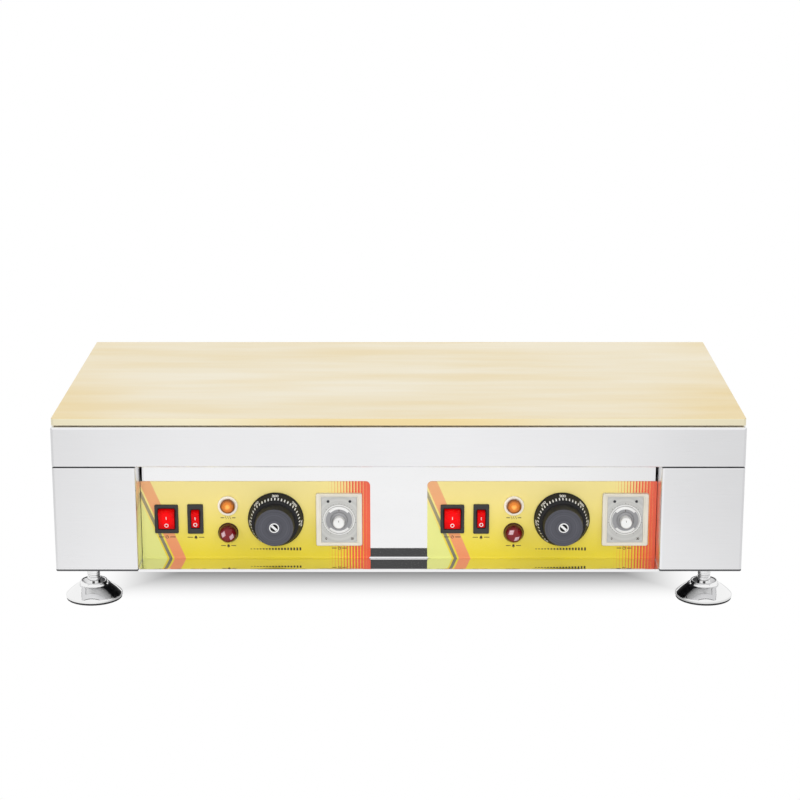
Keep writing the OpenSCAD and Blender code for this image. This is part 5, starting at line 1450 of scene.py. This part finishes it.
class GRIDDLE_OT_cable_glands(Operator):
    """Models the cable glands on the rear cover"""

    bl_idname = "griddle.cable_glands"
    bl_label = "Cable glands"

    def execute(self, context):
        tint, size, _ = settings()
        black = moulded_plastic("gland_black", tint.black, 0.42)
        seal = moulded_plastic("gland_seal", (0.03, 0.03, 0.03), 0.7, 700.0)
        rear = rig.box("rear_cover")[1].y
        bores = [m for m in frame["record"]["mounts"] if m["name"].endswith("cable_gland")]
        if len(bores) != 2:
            raise RuntimeError("the frame doesn't have two gland bores")
        ribs = bar_ring()
        shape = Shape()
        for mount in bores:
            centre = Vector((mount["pos_m"][0], rear, mount["pos_m"][2]))
            for hexagon in HEXAGONS:
                self.hexagon(shape, centre, *hexagon)
            shape.turn(outline(*GLAND_BODY), centre, ring_shaped=True)
            shape.take(ribs.grow(Count=size.gland_ribs + 1, Radius=RIB_R * MM, Sweep=2 * math.pi,
                                 Length=RIB_L * MM, Width=RIB_W * MM, Height=RIB_H * MM, Finish=black),
                       Matrix.Translation(centre + mm(y=RIB_BEHIND)))
            shape.turn(outline(*GLAND_SEAL), centre, ring_shaped=True, finish=lambda r, h: 1)
        shape.piece("cable_gland_bodies", [black, seal], "machine", "gland_black", ["cable_glands"])
        return {"FINISHED"}

    def hexagon(self, shape, centre, start, end, hole):
        """Hexagon with chamfered corners and a round hole, between two heights along -Y."""
        def loop(cap, h):
            points = []
            for c, s in circle(60):
                off_flat = (math.atan2(s, c) + math.pi / 6) % (math.pi / 3) - math.pi / 6
                r = min(cap, HEX_FLAT / math.cos(off_flat)) * MM
                points.append((r * c, r * s))
            return points, h * MM

        step = math.copysign(HEX_CHAMFER, end - start)
        shape.stack([loop(hole, start), loop(HEX_END, start), loop(HEX_TIP, start + step),
                     loop(HEX_TIP, end - step), loop(HEX_END, end), loop(hole, end)],
                    centre, ring_shaped=True)


# Inner parts

class GRIDDLE_OT_inner_parts(Operator):
    """Finishes the heaters, wiring and other parts inside the body"""

    bl_idname = "griddle.inner_parts"
    bl_label = "Inner parts"

    def execute(self, context):
        zinc = brushed_metal("inner_zinc", (0.62, 0.62, 0.64), 0.36, 300.0)
        heater = brushed_metal("heater_steel", (0.26, 0.25, 0.24), 0.5, 400.0, 0.2, 0.3)
        copper = brushed_metal("bulb_copper", (0.72, 0.40, 0.24), 0.30, (200.0, 900.0, 900.0))
        dress(zinc, "plate_studs", "plate_nuts", "clamp_bars")
        dress(heater, *both("{}_heating_element"))
        dress(woven_fibre("mat_fibre", (0.80, 0.74, 0.60), 0.95, 500.0), "insulation_mat")
        dress(copper, "sensor_bulbs")
        dress(moulded_plastic("thermostat_grey", (0.20, 0.21, 0.23), 0.5), *both("{}_thermostat"))
        dress(moulded_plastic("block_white", (0.80, 0.78, 0.72), 0.5, tone=0.05), "terminal_blocks")
        dress(moulded_plastic("wire_silicone", (0.42, 0.03, 0.02), 0.55, 800.0), "wiring")
        return {"FINISHED"}


# Sidebar, registration and run

class GRIDDLE_PT_panel(Panel):
    """Lists the griddle's parts and settings"""

    bl_idname = "GRIDDLE_PT_panel"
    bl_label = "Two-zone griddle"
    bl_space_type = "VIEW_3D"
    bl_region_type = "UI"
    bl_category = "Griddle"

    def draw(self, context):
        for operator in OPERATORS:
            self.layout.operator(operator.bl_idname)
        for group in settings():
            box = self.layout.box()
            for name in group.__annotations__:
                box.prop(group, name)


OPERATORS = (GRIDDLE_OT_stage, GRIDDLE_OT_sheet_metal, GRIDDLE_OT_overlays, GRIDDLE_OT_rocker_switches,
             GRIDDLE_OT_lamps, GRIDDLE_OT_temperature_dials, GRIDDLE_OT_timers, GRIDDLE_OT_feet,
             GRIDDLE_OT_fasteners, GRIDDLE_OT_cable_glands, GRIDDLE_OT_inner_parts)
GROUPS = {"griddle_colours": GriddleColours, "griddle_sizes": GriddleSizes, "griddle_light": GriddleLight}


def register():
    for group in (*GROUPS.values(), *OPERATORS, GRIDDLE_PT_panel):
        bpy.utils.register_class(group)
    for name, group in GROUPS.items():
        setattr(bpy.types.Scene, name, PointerProperty(type=group))


def unregister():
    for name in GROUPS:
        delattr(bpy.types.Scene, name)
    for group in (GRIDDLE_PT_panel, *OPERATORS, *GROUPS.values()):
        bpy.utils.unregister_class(group)


def main():
    register()
    bpy.ops.griddle.stage()
    bpy.ops.griddle.sheet_metal()
    bpy.ops.griddle.overlays()
    bpy.ops.griddle.rocker_switches()
    bpy.ops.griddle.lamps()
    bpy.ops.griddle.temperature_dials()
    bpy.ops.griddle.timers()
    bpy.ops.griddle.feet()
    bpy.ops.griddle.fasteners()
    bpy.ops.griddle.cable_glands()
    bpy.ops.griddle.inner_parts()
    with open("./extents.json", "w") as file:
        json.dump({"cad": CAD_BOX, "visual": [list(corner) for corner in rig.bounds()]}, file)


if __name__ == "__main__":
    main()
